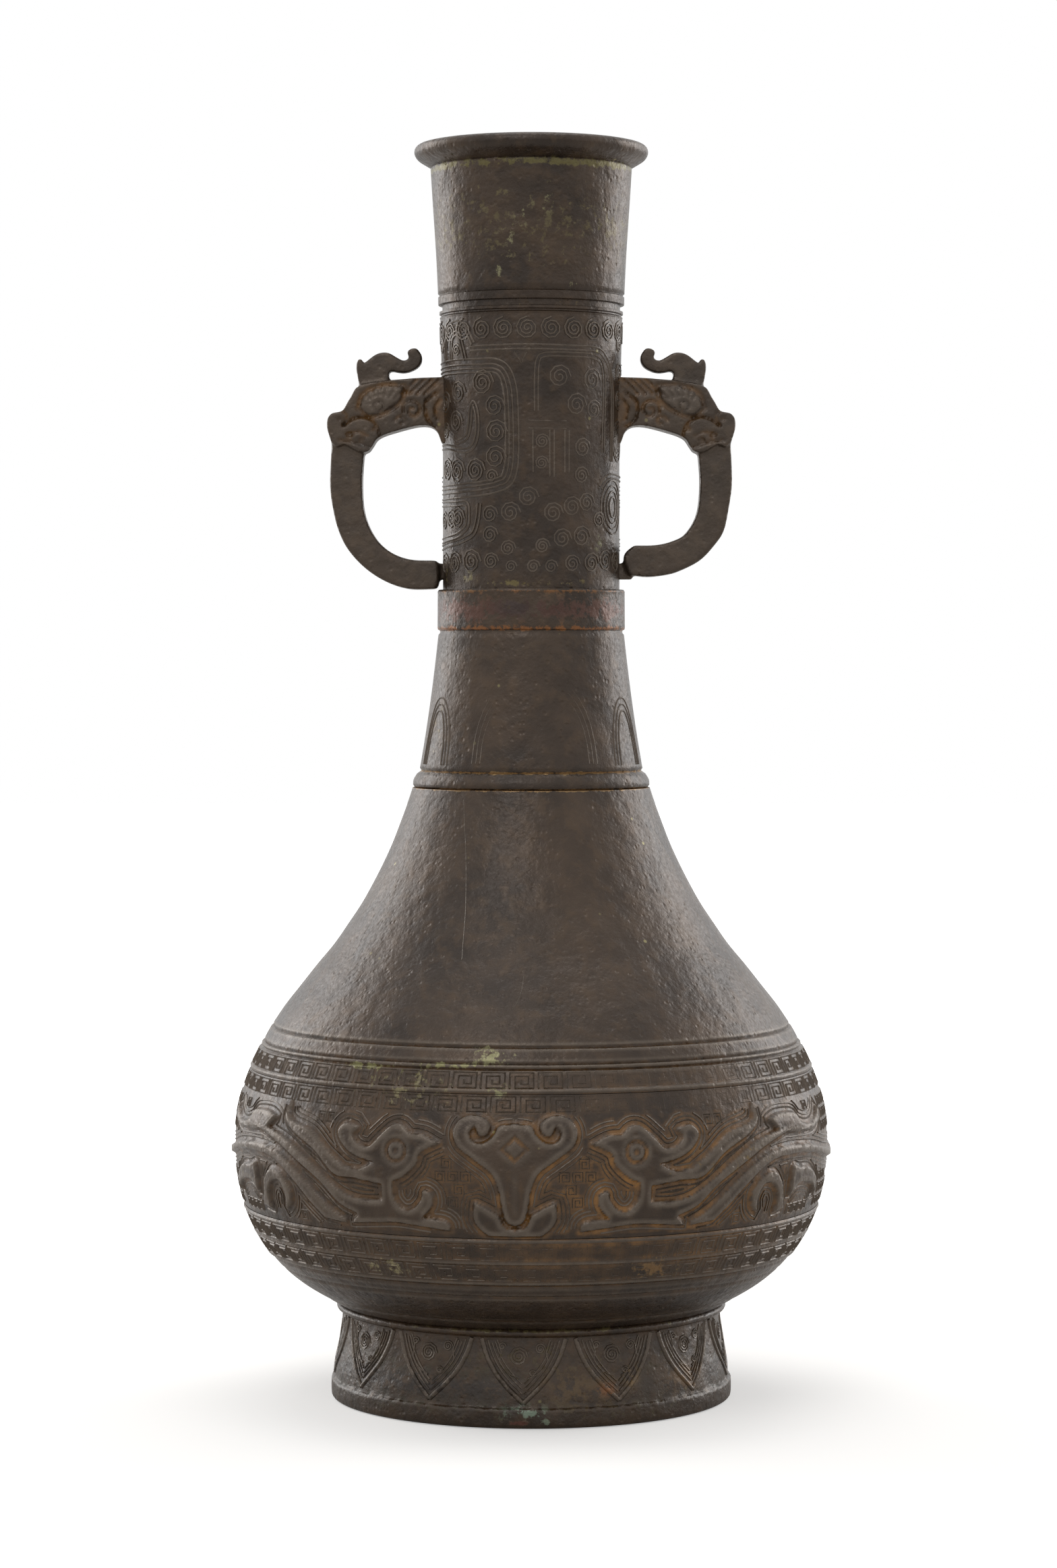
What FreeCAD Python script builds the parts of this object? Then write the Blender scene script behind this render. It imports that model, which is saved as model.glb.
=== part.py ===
import FreeCAD, Part
import math
import os
import re

import Sketcher
from FreeCAD import Placement, Rotation, Vector

# A cast bronze vase: hollow foot, round belly with a relief frieze, tall neck with a rolled lip, and
# two beast-head handles on the neck. The origin is the middle of the foot's underside, +Z is up and
# the frieze's mask faces -Y. All sizes are in millimetres.

doc = FreeCAD.newDocument("bronze_vase")
sheet = doc.addObject("Spreadsheet::Sheet", "sizes")

SIZES = [
    # Foot
    ("foot_radius", 48.2, "outer radius of the foot's rim"),
    ("foot_rim_height", 4.7, "height of the rim's plain band"),
    ("foot_rim_step", 0.6, "how far the rim stands proud of the foot's wall"),
    ("foot_waist_radius", 45.3, "narrowest radius of the foot's wall"),
    ("foot_waist_height", 20.6, "height of the waist under the bead"),
    ("foot_wall", 3.4, "thickness of the foot's wall at its waist"),
    ("recess_height", 19.4, "depth of the hollow under the foot"),
    ("bead_radius", 46.9, "outer radius of the bead between foot and belly"),
    ("bead_height", 2.2, "height of that bead"),
    # Belly
    ("belly_root_radius", 46.4, "radius where the belly springs from the bead"),
    ("belly_radius", 71.4, "radius of the ground of the frieze, at its widest"),
    ("belly_height", 60.6, "height of the widest place"),
    ("belly_curve", 45.0, "radius of the belly's curve through the frieze"),
    ("belly_root_heading", 20.8, "how steeply the belly leaves the bead, in degrees"),
    ("frieze_bottom", 47.0, "height of the frieze's lower edge"),
    ("frieze_top", 79.0, "height of the frieze's upper edge"),
    ("wall", 2.8, "thickness of the belly's wall"),
    ("floor_thickness", 3.4, "thickness of the vessel's floor"),
    ("floor_radius", 41.0, "radius of the floor inside"),
    # Shoulder
    ("shoulder_radius", 51.4, "radius where the shoulder turns from round to hollow"),
    ("shoulder_height", 103.9, "height of that place"),
    ("shoulder_bow", 13.1, "how far the hollow shoulder over it bows in, in degrees at its ends"),
    ("shoulder_wall", 4.5, "distance from the hollow to the outside there"),
    ("inside_shoulder_drop", 7.0, "how far under the frieze's upper edge the hollow turns in"),
    ("collar_radius", 28.4, "radius at the foot of the neck"),
    ("collar_height", 146.4, "height of the foot of the neck"),
    ("collar_width", 4.0, "height of the ring at the foot of the neck"),
    ("collar_rise", 0.4, "how far that ring stands proud"),
    ("collar_step", 1.4, "how far the neck's foot is set in over that ring"),
    ("bore_drop", 3.4, "how far under the collar the neck's straight bore starts"),
    # Neck
    ("band_radius", 22.6, "radius of the plain band round the neck"),
    ("band_bottom", 183.8, "height of the band's lower edge"),
    ("band_top", 193.6, "height of the band's upper edge"),
    ("band_step", 0.7, "step at the band's lower edge"),
    ("neck_radius", 21.4, "radius of the neck above the band"),
    ("neck_wall", 2.4, "thickness of the neck's wall"),
    ("mouth_height", 40.1, "distance from the wide groove's lower edge to the top"),
    ("groove_width", 1.8, "height of the wide groove"),
    ("groove_depth", 0.6, "depth of the wide groove"),
    # Mouth
    ("mouth_radius", 24.1, "outer radius of the neck under the lip"),
    ("lip_height", 5.4, "distance from where the lip turns out to the top"),
    ("lip_radius", 28.0, "outer radius of the lip"),
    ("lip_thickness", 3.4, "thickness of the rolled lip"),
    ("vase_height", 300.0, "height of the vase"),
    ("mouth_flare_height", 19.4, "how far down the mouth the inside widens"),
    # Frieze relief
    ("relief_rise", 1.1, "how far the frieze's figures stand proud"),
    ("frieze_turn", -3.0, "turn of the frieze from the handles' plane, in degrees"),
    # Foot lappets
    ("lappet_count", 13, "number of hanging triangles round the foot"),
    ("lappet_tip", 6.4, "height of their lower tips"),
    ("lappet_rise", 0.5, "how far they stand proud at the top"),
    ("lappet_thinning", 0.15, "how much less they stand proud at their tips"),
    ("lappet_join", 1.2, "height over which they hang together at the top"),
    ("lappet_gap", 4.8, "width of the gap between two of them at its top"),
    ("lappet_turn", -2.1, "turn of the lappets from the front, in degrees"),
    # Handles
    ("handle_reach", 49.0, "distance from the axis to the handle's outer side"),
    ("strap_width", 8.0, "width of the handle's strap, seen from the front"),
    ("strap_depth", 6.8, "thickness of the strap from front to back"),
    ("strap_rounding", 1.7, "rounding of the strap's long edges"),
    ("strap_top", 229.0, "height where the strap leaves the beast's mouth"),
    ("strap_bend", 19.0, "height of the strap's bend, along its middle line"),
    ("strap_run", 3.3, "straight run at the strap's lower end"),
    ("left_loop_end", 197.3, "height of the left strap's lower end"),
    ("right_loop_end", 200.6, "height of the right strap's lower end"),
    ("loop_gap", 1.3, "gap between the strap's end and the neck"),
    ("nub_height", 5.0, "height of the nub that joins the strap's end to the neck"),
    ("nub_depth", 4.6, "thickness of that nub from front to back"),
    ("head_height", 237.6, "height of the middle of the beast's head"),
    ("head_depth", 9.6, "thickness of the head from front to back"),
    ("head_crown", 6.4, "height of the head's top above its middle"),
    ("head_jaw", 10.6, "depth of the head's jaw below its middle"),
    ("head_bevel", 2.4, "bevel of the head's long edges"),
    ("horn_depth", 4.6, "thickness of the curled horn from front to back"),
    ("eye_depth", 0.6, "depth of the eye's almond hollow"),
    # Making
    ("bite", 1.0, "how far a piece reaches into what it is joined to, and a cut past what it cuts"),
    ("figure_margin", 5.0, "how far the figures reach past the belly before they are trimmed"),
]
for line, (alias, number, note) in enumerate(SIZES, start=1):
    sheet.set(f"A{line}", alias)
    sheet.set(f"B{line}", str(number))
    sheet.set(f"C{line}", note)
    sheet.setAlias(f"B{line}", alias)
doc.recompute()


def value(expression):
    """The number an expression of the sheet's cells gives."""
    result = sheet.evalExpression(expression)
    return float(getattr(result, "Value", result))


def cells(text):
    """Writes each size's name in an expression as a reference to its cell."""
    names = {alias for alias, number, note in SIZES}
    return re.sub(r"[a-z_]+", lambda word: f"sizes.{word[0]}" if word[0] in names else word[0], text)


def origin_plane(body, role):
    """The body's own origin plane with that role."""
    return next(feature for feature in body.Origin.OriginFeatures if feature.Role == role)


def origin_axis(body, role):
    """The body's own origin axis with that role."""
    return next(feature for feature in body.Origin.OriginFeatures if feature.Role == role)


def new_body(label):
    """An empty body that may hold separate lumps while it is built."""
    body = doc.addObject("PartDesign::Body", label)
    body.Label = label
    body.AllowCompound = True
    return body


def new_sketch(body, name, role, offset=None):
    """A sketch on one of the body's origin planes."""
    sketch = body.newObject("Sketcher::SketchObject", name)
    sketch.AttachmentSupport = (origin_plane(body, role), [""])
    sketch.MapMode = "FlatFace"
    if offset is not None:
        sketch.AttachmentOffset = offset
    doc.recompute()
    return sketch


def bind(sketch, constraint, expression):
    """Adds a constraint whose number comes from the sheet."""
    index = sketch.addConstraint(constraint)
    sketch.setExpression(f"Constraints[{index}]", cells(expression))


# Curved strokes are drawn as straight flats that leave the curve by at most this much.
STROKE_FLAT = 0.7
FINE_FLAT = 0.5


def fix_point(sketch, curve, end, point, across, up):
    """Holds the end of a curve at the place that two expressions give."""
    if abs(point.x) < 1e-9:
        sketch.addConstraint(Sketcher.Constraint("PointOnObject", curve, end, -2))
    else:
        bind(sketch, Sketcher.Constraint("DistanceX", -1, 1, curve, end, point.x), across)
    if abs(point.y) < 1e-9:
        sketch.addConstraint(Sketcher.Constraint("PointOnObject", curve, end, -1))
    else:
        bind(sketch, Sketcher.Constraint("DistanceY", -1, 1, curve, end, point.y), up)


def bend_points(start, end, heading, flats):
    """The inner corners of a round side drawn as flats, and the heading it ends in."""
    chord = end.sub(start)
    turn = math.remainder(2 * (math.atan2(chord.y, chord.x) - heading), 4 * math.pi)
    radius = chord.Length / (2 * math.sin(turn / 2))
    centre = start.add(Vector(-math.sin(heading), math.cos(heading), 0).multiply(radius))
    points = []
    for step in range(1, flats):
        angle = heading + turn * step / flats
        points.append(centre.add(Vector(math.sin(angle), -math.cos(angle), 0).multiply(radius)))
    return points, heading + turn


def draw(sketch, corners, closed=True):
    """Draws an outline from corner to corner, each held by the sheet.

    A corner is (across, up) for a straight side to it, or (across, up, flats) for a round side that
    goes on in the last side's direction and is drawn with that many flats. Two more values give the
    direction that it starts in instead: (across, up, flats, "leaving", degrees).
    """
    places = [Vector(value(cells(corner[0])), value(cells(corner[1])), 0) for corner in corners]
    steps = list(zip(places[:-1], places[1:], corners[1:]))
    if closed:
        steps.append((places[-1], places[0], corners[0]))
    heading = 0.0
    first = previous = None
    for start, end, corner in steps:
        chord = end.sub(start)
        inner = []
        if len(corner) == 2:
            heading = math.atan2(chord.y, chord.x)
        else:
            if "leaving" in corner:
                heading = math.radians(value(cells(corner[4])))
            inner, heading = bend_points(start, end, heading, corner[2])
        stops = [start] + inner + [end]
        for near, far in zip(stops[:-1], stops[1:]):
            side = sketch.addGeometry(Part.LineSegment(near, far), False)
            if previous is None:
                first = side
                fix_point(sketch, side, 1, near, *corners[0][:2])
            else:
                sketch.addConstraint(Sketcher.Constraint("Coincident", previous, 2, side, 1))
            previous = side
        if closed and end is places[0]:
            sketch.addConstraint(Sketcher.Constraint("Coincident", previous, 2, first, 1))
        else:
            fix_point(sketch, previous, 2, end, *corner[:2])


def stroke_outline(sketch, strokes, place, flat=STROKE_FLAT):
    """Draws a closed outline from strokes: each a smooth line through hand-chosen points, in flats."""
    stops = []
    for points in strokes:
        places = [place(*point) for point in points]
        if len(places) > 2:
            curve = Part.BSplineCurve()
            curve.interpolate(places)
            places = curve.discretize(Deflection=flat)
        stops += places[:-1]
    for start, end in zip(stops, stops[1:] + stops[:1]):
        sketch.addGeometry(Part.LineSegment(start, end), False)


def revolve(body, kind, name, sketch):
    """Turns a sketch round the vertical axis, as a solid or as a cut."""
    feature = body.newObject(kind, name)
    feature.Profile = sketch
    feature.ReferenceAxis = (sketch, ["V_Axis"])
    feature.Angle = 360
    sketch.Visibility = False
    return feature


# The belly's curve through the frieze is part of a circle. These give its distance from the axis at a
# level, with an offset for what stands proud of it, and the heading of its upward line there.
FRIEZE_MIDDLE = "belly_radius - belly_curve"


def frieze_radius(level, offset="0"):
    return (f"{FRIEZE_MIDDLE} + sqrt((belly_curve + {offset}) ^ 2 - "
            f"({level} - belly_height) ^ 2)")


def frieze_heading(level):
    return f"acos((belly_height - {level}) / belly_curve)"


# Vessel: the outside and the hollow inside are turned, and the foot is hollowed from below.
vessel = new_body("vessel")
outside = new_sketch(vessel, "outside", "XZ_Plane")
SHOULDER_LEAN = "atan((shoulder_radius - collar_radius) / (collar_height - shoulder_height))"
draw(outside, [
    ("0", "0"),
    ("foot_radius", "0"),
    ("foot_radius", "foot_rim_height"),
    ("foot_radius - foot_rim_step", "foot_rim_height"),
    ("foot_waist_radius", "foot_waist_height"),
    ("bead_radius", "foot_waist_height"),
    ("bead_radius", "foot_waist_height + bead_height"),
    ("belly_root_radius", "foot_waist_height + bead_height"),
    (frieze_radius("frieze_bottom"), "frieze_bottom", 3, "leaving", "belly_root_heading"),
    (frieze_radius("frieze_top"), "frieze_top", 3, "leaving", frieze_heading("frieze_bottom")),
    ("shoulder_radius", "shoulder_height", 2),
    ("collar_radius", "collar_height", 2, "leaving",
     f"90deg + {SHOULDER_LEAN} + shoulder_bow * 1deg"),
    ("collar_radius + collar_rise", "collar_height"),
    ("collar_radius + collar_rise", "collar_height + collar_width"),
    ("collar_radius - collar_step", "collar_height + collar_width"),
    ("band_radius - band_step", "band_bottom"),
    ("band_radius", "band_bottom"),
    ("band_radius", "band_top"),
    ("neck_radius", "band_top"),
    ("neck_radius", "vase_height - mouth_height"),
    ("neck_radius - groove_depth", "vase_height - mouth_height"),
    ("neck_radius - groove_depth", "vase_height - mouth_height + groove_width"),
    ("neck_radius + groove_depth", "vase_height - mouth_height + groove_width"),
    ("mouth_radius", "vase_height - lip_height"),
    ("lip_radius - lip_thickness / 3", "vase_height - lip_thickness"),
    ("lip_radius", "vase_height - lip_thickness / 2"),
    ("lip_radius - lip_thickness / 2", "vase_height"),
    ("0", "vase_height"),
])
revolve(vessel, "PartDesign::Revolution", "turned_outside", outside)

# Hollow: the inside and the recess under the foot, cut out of the casting at the end.
hollow = new_body("hollow")
cavity = new_sketch(hollow, "cavity", "XZ_Plane")
INSIDE = frieze_radius("frieze_bottom", "- wall")
BORE = "neck_radius - neck_wall"
draw(cavity, [
    ("0", "recess_height + floor_thickness"),
    ("floor_radius", "recess_height + floor_thickness"),
    (INSIDE, "frieze_bottom"),
    (INSIDE, "frieze_top - inside_shoulder_drop"),
    ("shoulder_radius - shoulder_wall", "shoulder_height"),
    (BORE, "collar_height - bore_drop"),
    (BORE, "vase_height - mouth_flare_height"),
    ("mouth_radius - neck_wall", "vase_height + bite"),
    ("0", "vase_height + bite"),
])
revolve(hollow, "PartDesign::Revolution", "hollow_inside", cavity)

recess = new_sketch(hollow, "recess", "XZ_Plane")
draw(recess, [
    ("0", "- bite"),
    ("foot_waist_radius - foot_wall", "- bite"),
    ("foot_waist_radius - foot_wall", "recess_height"),
    ("0", "recess_height"),
])
revolve(hollow, "PartDesign::Revolution", "hollow_foot", recess)

# Frieze: figures that stand proud of the belly. Each is drawn in strokes through points given as
# (azimuth in degrees from the mask's middle, level), on a plane that faces its own part of the belly,
# pushed outwards from inside the solid belly and trimmed to a height above its curve.
FRIEZE_LEVELS = (47.0, 79.0)
FIGURE_START = 0.7


def figure_place(middle):
    """Turns a figure's (azimuth, level) into a place on a plane that faces the middle azimuth."""
    low, high = value("sizes.frieze_bottom"), value("sizes.frieze_top")
    share = (high - low) / (FRIEZE_LEVELS[1] - FRIEZE_LEVELS[0])

    def place(azimuth, level):
        up = low + (level - FRIEZE_LEVELS[0]) * share
        across = value(cells(frieze_radius(str(up), "relief_rise")))
        return Vector(across * math.sin(math.radians(azimuth - middle)), up, 0)

    return place


def figure(name, middle, outlines, flat=STROKE_FLAT):
    """A prism with the figure's outlines, facing outwards at its middle azimuth."""
    body = new_body(name)
    near = FIGURE_START * value("sizes.belly_radius")
    turn = Rotation(Vector(0, 1, 0), middle)
    for number, strokes in enumerate(outlines, start=1):
        offset = Placement(turn.multVec(Vector(0, 0, near)), turn)
        sketch = new_sketch(body, f"{name}_{number}", "XZ_Plane", offset)
        stroke_outline(sketch, strokes, figure_place(middle), flat)
        pad = body.newObject("PartDesign::Pad", f"{name}_pad_{number}")
        pad.Profile = sketch
        pad.setExpression("Length", cells(f"belly_radius * (1 - {FIGURE_START}) + figure_margin"))
        sketch.Visibility = False
    return body


bird_head = figure("bird_head", -32, [[
    [(-14, 68.4), (-17.4, 66.2), (-18.3, 63.6), (-20.6, 60.8), (-22.9, 59.4)],
    [(-22.9, 59.4), (-22.9, 56.5)],
    [(-22.9, 56.5), (-25.3, 56.5)],
    [(-25.3, 56.5), (-25.3, 58.6)],
    [(-25.3, 58.6), (-31, 59.4), (-36, 60), (-41, 64.9), (-47.6, 68.6), (-50.2, 71.4), (-50, 75.3)],
    [(-50, 75.3), (-48.6, 71.4), (-42, 69.2), (-37.5, 65.2), (-33.5, 62)],
    [(-33.5, 62), (-30, 61.8), (-27, 63.4)],
    [(-27, 63.4), (-31, 64.6), (-33.8, 66.6), (-35.3, 69.6), (-33.8, 71.7), (-30.8, 71.1)],
    [(-30.8, 71.1), (-31.7, 69.3), (-30.6, 67.4), (-28.2, 66.9), (-26.3, 69), (-23.6, 71.9),
     (-21.5, 72.1), (-19.7, 70.4)],
    [(-19.7, 70.4), (-17, 70.1), (-14, 68.4)],
]])
bird_body = figure("bird_body", -36, [[
    [(-25.3, 58), (-25.3, 55)],
    [(-25.3, 55), (-30, 54.9), (-34, 56.1), (-38.5, 59.3), (-43.4, 63.2), (-49.3, 66.7), (-56, 68.6)],
    [(-56, 68.6), (-53.5, 71.2)],
    [(-53.5, 71.2), (-57, 72.2), (-60.5, 70.6)],
    [(-60.5, 70.6), (-58.1, 67.5)],
    [(-58.1, 67.5), (-51.5, 65.2), (-45, 61.5), (-39.5, 57.9), (-35, 53.4), (-30.8, 51.3)],
    [(-30.8, 51.3), (-32.8, 49.1)],
    [(-32.8, 49.1), (-28, 49.6), (-22.4, 50), (-16.8, 49.3), (-12.2, 48.6)],
    [(-12.2, 48.6), (-12, 49.8), (-13.2, 51), (-17.2, 51.4)],
    [(-17.2, 51.4), (-15.3, 54.4), (-15.4, 57), (-17, 57.7), (-17.4, 55.7), (-19, 53.5),
     (-21, 53.3), (-22.6, 55.4), (-22.9, 58)],
    [(-22.9, 58), (-25.3, 58)],
]])
ribbon = figure("ribbon", -62, [[
    [(-34, 49.9), (-38, 52.6), (-43, 57.4), (-48, 61.2), (-53, 63.7), (-60, 64.5), (-70, 63.6),
     (-80, 61.4), (-90, 60.2)],
    [(-90, 60.2), (-90, 58.2)],
    [(-90, 58.2), (-80, 59.4), (-70, 61.8), (-60, 62.5), (-53, 61.4), (-47, 57.4), (-42.5, 53),
     (-39, 49.6)],
    [(-39, 49.6), (-34, 49)],
    [(-34, 49), (-34, 49.9)],
]])
scroll = figure("scroll", -58, [[
    [(-58.8, 50.2), (-57.9, 53), (-57.2, 56.4), (-54.7, 59.2), (-51, 58.2), (-48.4, 55.2),
     (-48.4, 52), (-50.4, 50)],
    [(-50.4, 50), (-49.9, 53.6), (-51.6, 56.6), (-54.4, 56.2), (-56, 53.4), (-55.8, 49.6)],
    [(-55.8, 49.6), (-58.8, 50.2)],
]])
mask = figure("mask", 0, [[
    [(0, 50.2), (0, 72.9)],
    [(0, 72.9), (2.9, 72.4), (3.8, 70.6), (5.6, 68.8), (7.6, 69), (8.4, 70.8), (7.5, 72.2)],
    [(7.5, 72.2), (6.3, 70.1), (4.8, 71), (4.9, 73.3), (7.4, 74.7), (10.2, 73.8), (11.4, 71),
     (10.6, 67.9), (7.6, 65), (4.4, 62), (2.9, 58.5), (2.1, 54.4), (0, 50.2)],
], [
    [(0, 49.2), (1.6, 50.2), (2.7, 53)],
    [(2.7, 53), (5.2, 54.2), (7.4, 55.5)],
    [(7.4, 55.5), (7.1, 51.8), (4.9, 47.8)],
    [(4.9, 47.8), (0, 47.6)],
    [(0, 47.6), (0, 49.2)],
]], FINE_FLAT)

# What the figures are trimmed to: a faceted drum that stands proud of the belly by their height.
FACETS = 30
DRUM_STEPS = 3


def facet_ring(name, level):
    """A ring of straight sides, whose facets are as far from the belly as the figures are high."""
    ring = doc.addObject("Part::RegularPolygon", name)
    ring.Polygon = FACETS
    swell = f"({frieze_radius(level, 'relief_rise')}) / cos({180 / FACETS} * 0.5deg)"
    ring.setExpression("Circumradius", cells(swell))
    ring.setExpression("Placement.Base.z", cells(level))
    ring.Placement.Rotation = Rotation(Vector(0, 0, 1), 180 / FACETS)
    return ring


levels = [f"frieze_bottom + (frieze_top - frieze_bottom) * {step} / {DRUM_STEPS}"
          for step in range(DRUM_STEPS + 1)]
drum = doc.addObject("Part::Loft", "relief_drum")
drum.Sections = [facet_ring(f"relief_ring_{step}", level) for step, level in enumerate(levels)]
drum.Solid = True
drum.Ruled = True
figures = doc.addObject("Part::MultiFuse", "figures")
figures.Shapes = [bird_head, bird_body, ribbon, scroll, mask]
quarter = doc.addObject("Part::Common", "relief_quarter")
quarter.Base = figures
quarter.Tool = drum
doc.recompute()


def mirrored(name, source, normal):
    """A mirror image of an object through the upright plane with that normal."""
    copy = doc.addObject("Part::Mirroring", name)
    copy.Source = source
    copy.Normal = normal
    return copy


front = doc.addObject("Part::MultiFuse", "relief_front")
front.Shapes = [quarter, mirrored("relief_quarter_right", quarter, Vector(1, 0, 0))]
relief = doc.addObject("Part::MultiFuse", "relief")
relief.Shapes = [front, mirrored("relief_back", front, Vector(0, 1, 0))]
relief.Placement = Placement(Vector(), Rotation(Vector(0, 0, 1), value("sizes.frieze_turn")))
doc.recompute()

# Foot lappets: a thin skin on the foot's wall, cut away between hanging triangles.
lappets = new_body("lappets")
skin = new_sketch(lappets, "lappet_skin", "XZ_Plane")
draw(skin, [
    ("foot_waist_radius - bite", "lappet_tip"),
    ("foot_radius - foot_rim_step + lappet_rise - lappet_thinning", "lappet_tip"),
    ("foot_waist_radius + lappet_rise", "foot_waist_height"),
    ("foot_waist_radius - bite", "foot_waist_height"),
])
revolve(lappets, "PartDesign::Revolution", "lappet_skin_turned", skin)
gap = new_sketch(lappets, "lappet_gap", "XZ_Plane")
HALF_SPACE = "foot_radius * tan(180deg / lappet_count)"
draw(gap, [
    (f"- {HALF_SPACE}", "lappet_tip - bite / 10"),
    (HALF_SPACE, "lappet_tip - bite / 10"),
    ("lappet_gap / 2", "foot_waist_height - lappet_join"),
    ("- lappet_gap / 2", "foot_waist_height - lappet_join"),
])
gap_cut = lappets.newObject("PartDesign::Pocket", "lappet_gap_cut")
gap_cut.Profile = gap
gap_cut.Type = "Length"
gap_cut.Reversed = True
gap_cut.setExpression("Length", cells("foot_radius + lappet_rise + bite"))
gap.Visibility = False
doc.recompute()
gaps = lappets.newObject("PartDesign::PolarPattern", "lappet_gaps")
gaps.Originals = [gap_cut]
gaps.Axis = (origin_axis(lappets, "Z_Axis"), [""])
gaps.Angle = 360
gaps.Occurrences = int(value("sizes.lappet_count"))
lappets.Tip = gaps
lappets.Placement = Placement(
    Vector(), Rotation(Vector(0, 0, 1), value("sizes.lappet_turn + 180 / sizes.lappet_count")))
doc.recompute()

# Handles: a strap that comes out of a beast's mouth, bends in and is joined to the neck by a small
# nub; the head grows out of the neck and carries a curled horn. The head's and horn's outlines are
# hand-chosen points, (distance out from the neck, height above the head's middle).
HEAD = [
    [(-2.5, 7.1), (12.7, 6.1)],
    [(12.7, 6.1), (19.8, 4.6), (22, 2), (23.9, -1.3)],
    [(23.9, -1.3), (26.8, -2), (28, -4.6), (26.6, -8.8)],
    [(26.6, -8.8), (26.3, -10.6)],
    [(26.3, -10.6), (18.8, -10.6)],
    [(18.8, -10.6), (15.6, -7.8), (10.5, -6.2), (5, -4.7), (1.6, -5.6), (-0.4, -9.6)],
    [(-0.4, -9.6), (-2.5, -9.6)],
    [(-2.5, -9.6), (-2.5, 7.1)],
]
HORN = [
    [(12.2, 4.4), (12.6, 6.4), (13.1, 8)],
    [(13.1, 8), (9, 8), (5.6, 9.6), (4.8, 11.9), (6.6, 14.2), (8.3, 13.7)],
    [(8.3, 13.7), (8.2, 11.8), (11, 11.8), (15.6, 12.5), (18.9, 10.2)],
    [(18.9, 10.2), (20.2, 11.2)],
    [(20.2, 11.2), (20.7, 8.6), (19.6, 4)],
    [(19.6, 4), (12.2, 4.4)],
]
EYE = [
    [(20, -0.4), (18.4, 2.6), (14.5, 3.9), (9.4, 4.2)],
    [(9.4, 4.2), (9.6, 1.8), (12.4, -0.6), (17.2, -2.5), (20, -0.4)],
]
HEAD_REACH = 27.8


def handle_place(side):
    """Turns a handle's (out, up) into a place on the plane of the handles, on one side."""
    share = value(cells("handle_reach - neck_radius")) / HEAD_REACH
    neck, middle = value("sizes.neck_radius"), value("sizes.head_height")
    return lambda out, up: Vector(side * (neck + out * share), middle + up, 0)


def slab(body, name, strokes, side, depth):
    """An outline pushed out evenly to both sides of the handles' plane."""
    sketch = new_sketch(body, name, "XZ_Plane")
    stroke_outline(sketch, strokes, handle_place(side))
    pad = body.newObject("PartDesign::Pad", name + "_pad")
    pad.Profile = sketch
    pad.SideType = "Symmetric"
    pad.setExpression("Length", cells(depth))
    sketch.Visibility = False


def bevel(body, name, edge_up, outward):
    """Cuts both long edges of a head at a level: upper edges with outward 1, lower ones with -1."""
    sketch = new_sketch(body, name, "YZ_Plane")
    for face in (-1, 1):
        deep = f"{face} * (head_depth / 2"
        draw(sketch, [
            (f"{deep} - head_bevel - bite)", f"{edge_up} + {outward} * bite"),
            (f"{deep} + bite)", f"{edge_up} + {outward} * bite"),
            (f"{deep} + bite)", f"{edge_up} - {outward} * (head_bevel + bite)"),
        ])
    cut = body.newObject("PartDesign::Pocket", name + "_cut")
    cut.Profile = sketch
    cut.SideType = "Symmetric"
    cut.setExpression("Length", cells("2 * (handle_reach + bite)"))
    sketch.Visibility = False


def eyes(body, name, side):
    """The almond hollow of the beast's eye, on both faces of the head."""
    for face, label in ((1, "front"), (-1, "back")):
        level = Placement(Vector(0, 0, face * value("sizes.head_depth") / 2), Rotation())
        sketch = new_sketch(body, f"{name}_eye_{label}", "XZ_Plane", level)
        stroke_outline(sketch, EYE, handle_place(side), FINE_FLAT)
        cut = body.newObject("PartDesign::Pocket", f"{name}_eye_{label}_cut")
        cut.Profile = sketch
        cut.Reversed = face == -1
        cut.setExpression("Length", cells("eye_depth"))
        sketch.Visibility = False


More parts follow.
